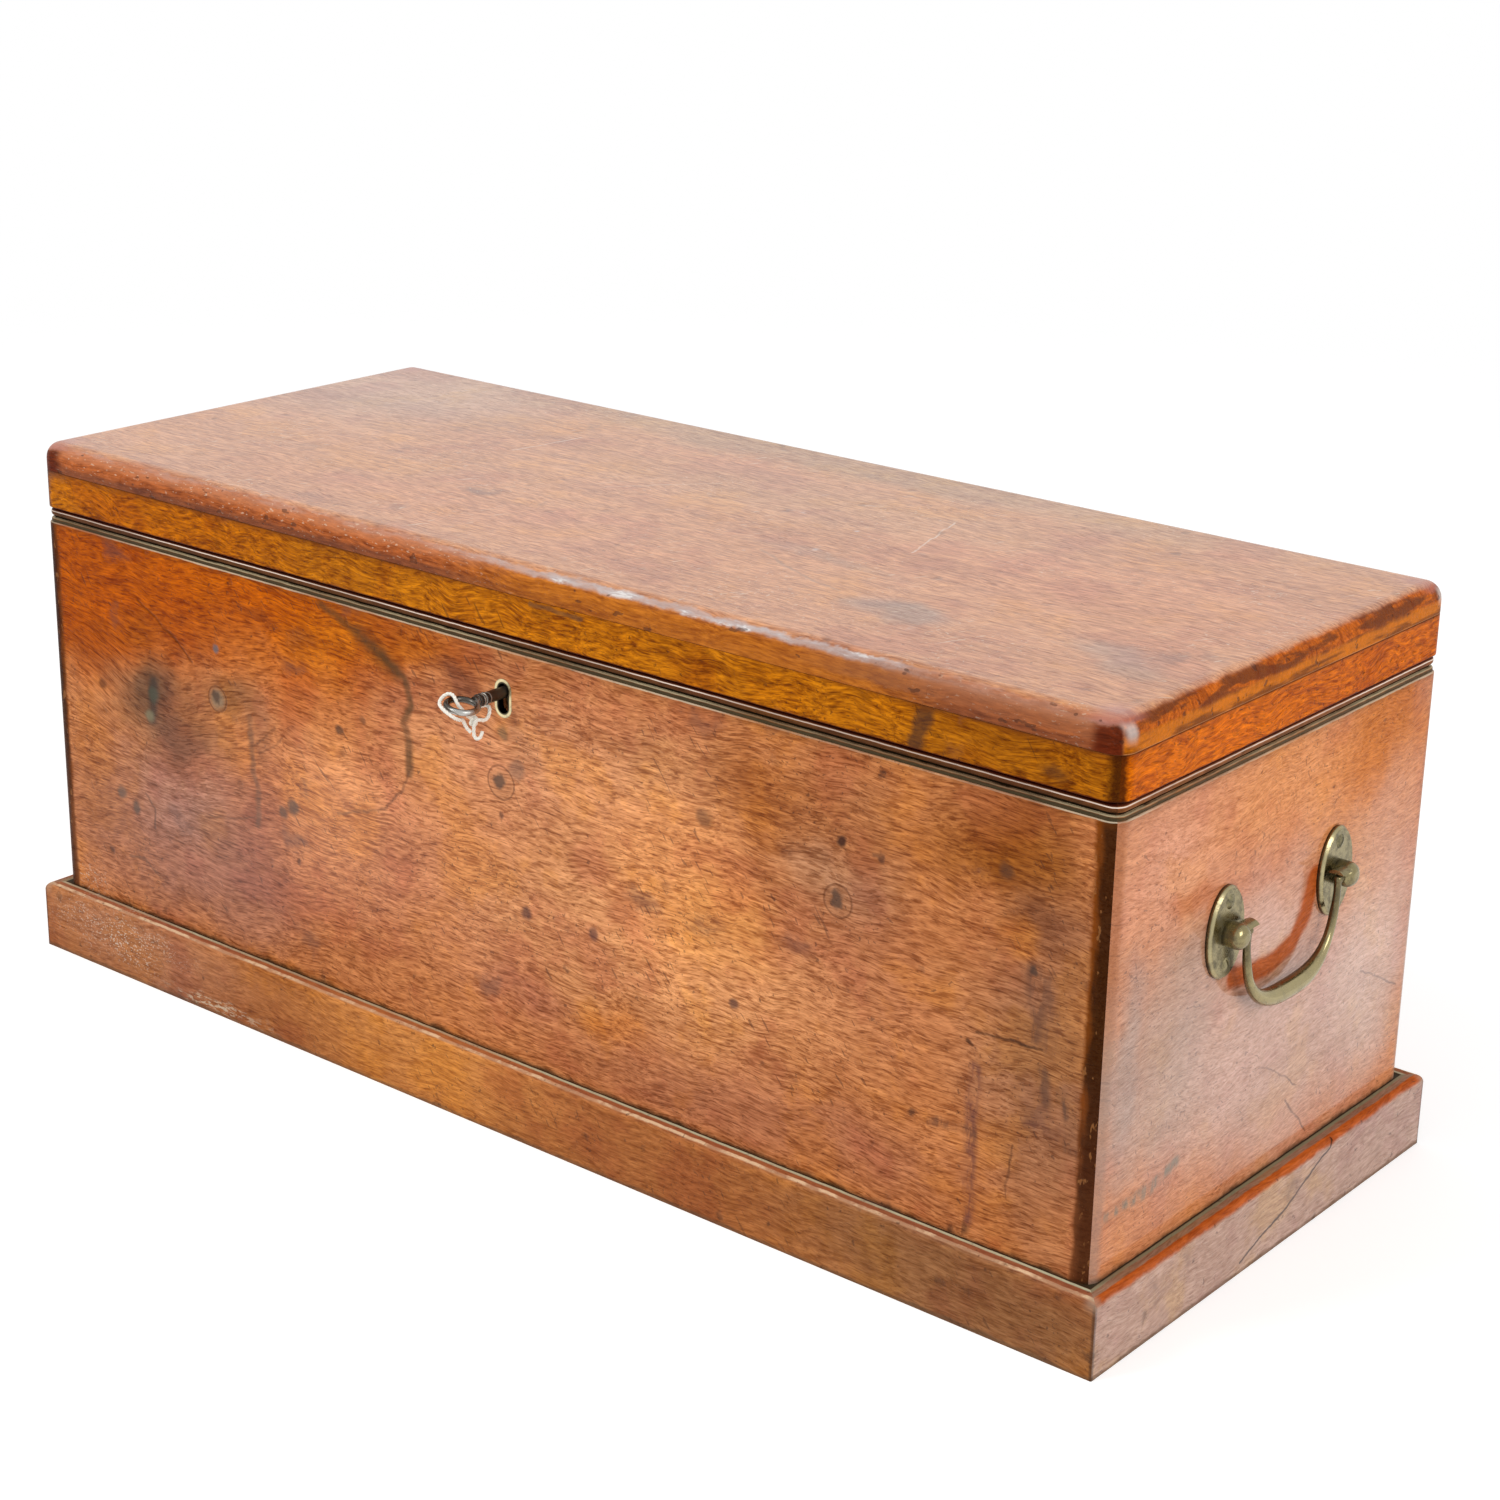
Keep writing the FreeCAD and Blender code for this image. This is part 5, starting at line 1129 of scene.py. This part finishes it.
print("box: finishes given to", len(nodes), "nodes")

# pale floor, white surroundings and soft lamps
studio = {
    "floorWide": 9, "floorTone": 0.80, "floorLift": 0.42, "fadeFrom": 0.7, "fadeTo": 2.2, "skyLevel": 0.64,
    "lamps": [                                  # place, aimed at, width, watts
        ((-1.4, -2.3, 2.6), (0.0, 0.0, 0.15), 1.6, 46),
        ((2.4, -0.6, 1.5), (0.1, 0.0, 0.15), 1.2, 24),
    ],
}


def makeFloor(s):
    half = s["floorWide"] / 2
    mesh = bpy.data.meshes.new("floor")
    corners = [(-half, -half, 0), (half, -half, 0), (half, half, 0), (-half, half, 0)]
    mesh.from_pydata(corners, [], [(0, 1, 2, 3)])
    item = collect(bpy.data.objects.new("floor", mesh))
    material = bpy.data.materials.new("floorPale")
    material.use_nodes = True
    tree = material.node_tree
    tree.nodes.clear()
    tone = s["floorTone"]
    matt = wire(tree, "ShaderNodeBsdfDiffuse", {}, {"Color": (tone, tone, tone, 1)})
    lift = wire(tree, "ShaderNodeEmission", {}, {"Color": (1, 1, 1, 1), "Strength": s["floorLift"]})
    both = wire(tree, "ShaderNodeAddShader", {}, {0: matt, 1: lift})
    mixed = wire(tree, "ShaderNodeMixShader", {}, {0: seenRays(tree), 1: matt, 2: both})
    clear = wire(tree, "ShaderNodeBsdfTransparent")
    reach = vector("LENGTH", wire(tree, "ShaderNodeTexCoord", output=3), output=1)
    faded = wire(tree, "ShaderNodeMixShader", {},
                 {0: reach.rise(s["fadeFrom"], s["fadeTo"]), 1: mixed, 2: clear})
    output(tree, "ShaderNodeOutputMaterial", faded)
    mesh.materials.append(material)


def makeSky(s):
    world = bpy.data.worlds.new("studio")
    bpy.context.scene.world = world
    world.use_nodes = True
    tree = world.node_tree
    tree.nodes.clear()
    level = seenRays(tree) * (1 - s["skyLevel"]) + s["skyLevel"]
    light = wire(tree, "ShaderNodeBackground", {}, {"Color": (1, 1, 1, 1), "Strength": level})
    output(tree, "ShaderNodeOutputWorld", light)


def makeLamps(s):
    for number, (place, aim, wide, watts) in enumerate(s["lamps"]):
        data = bpy.data.lights.new("softLamp%d" % number, "AREA")
        data.size, data.energy = wide, watts
        item = collect(bpy.data.objects.new("softLamp%d" % number, data))
        item.location = place
        item.rotation_mode = "QUATERNION"
        item.rotation_quaternion = (Vector(aim) - Vector(place)).to_track_quat("-Z", "Y")


makeFloor(studio)
makeSky(studio)
makeLamps(studio)
bpy.context.scene.view_settings.view_transform = "Standard"
print("box: floor, surroundings and lamps set")
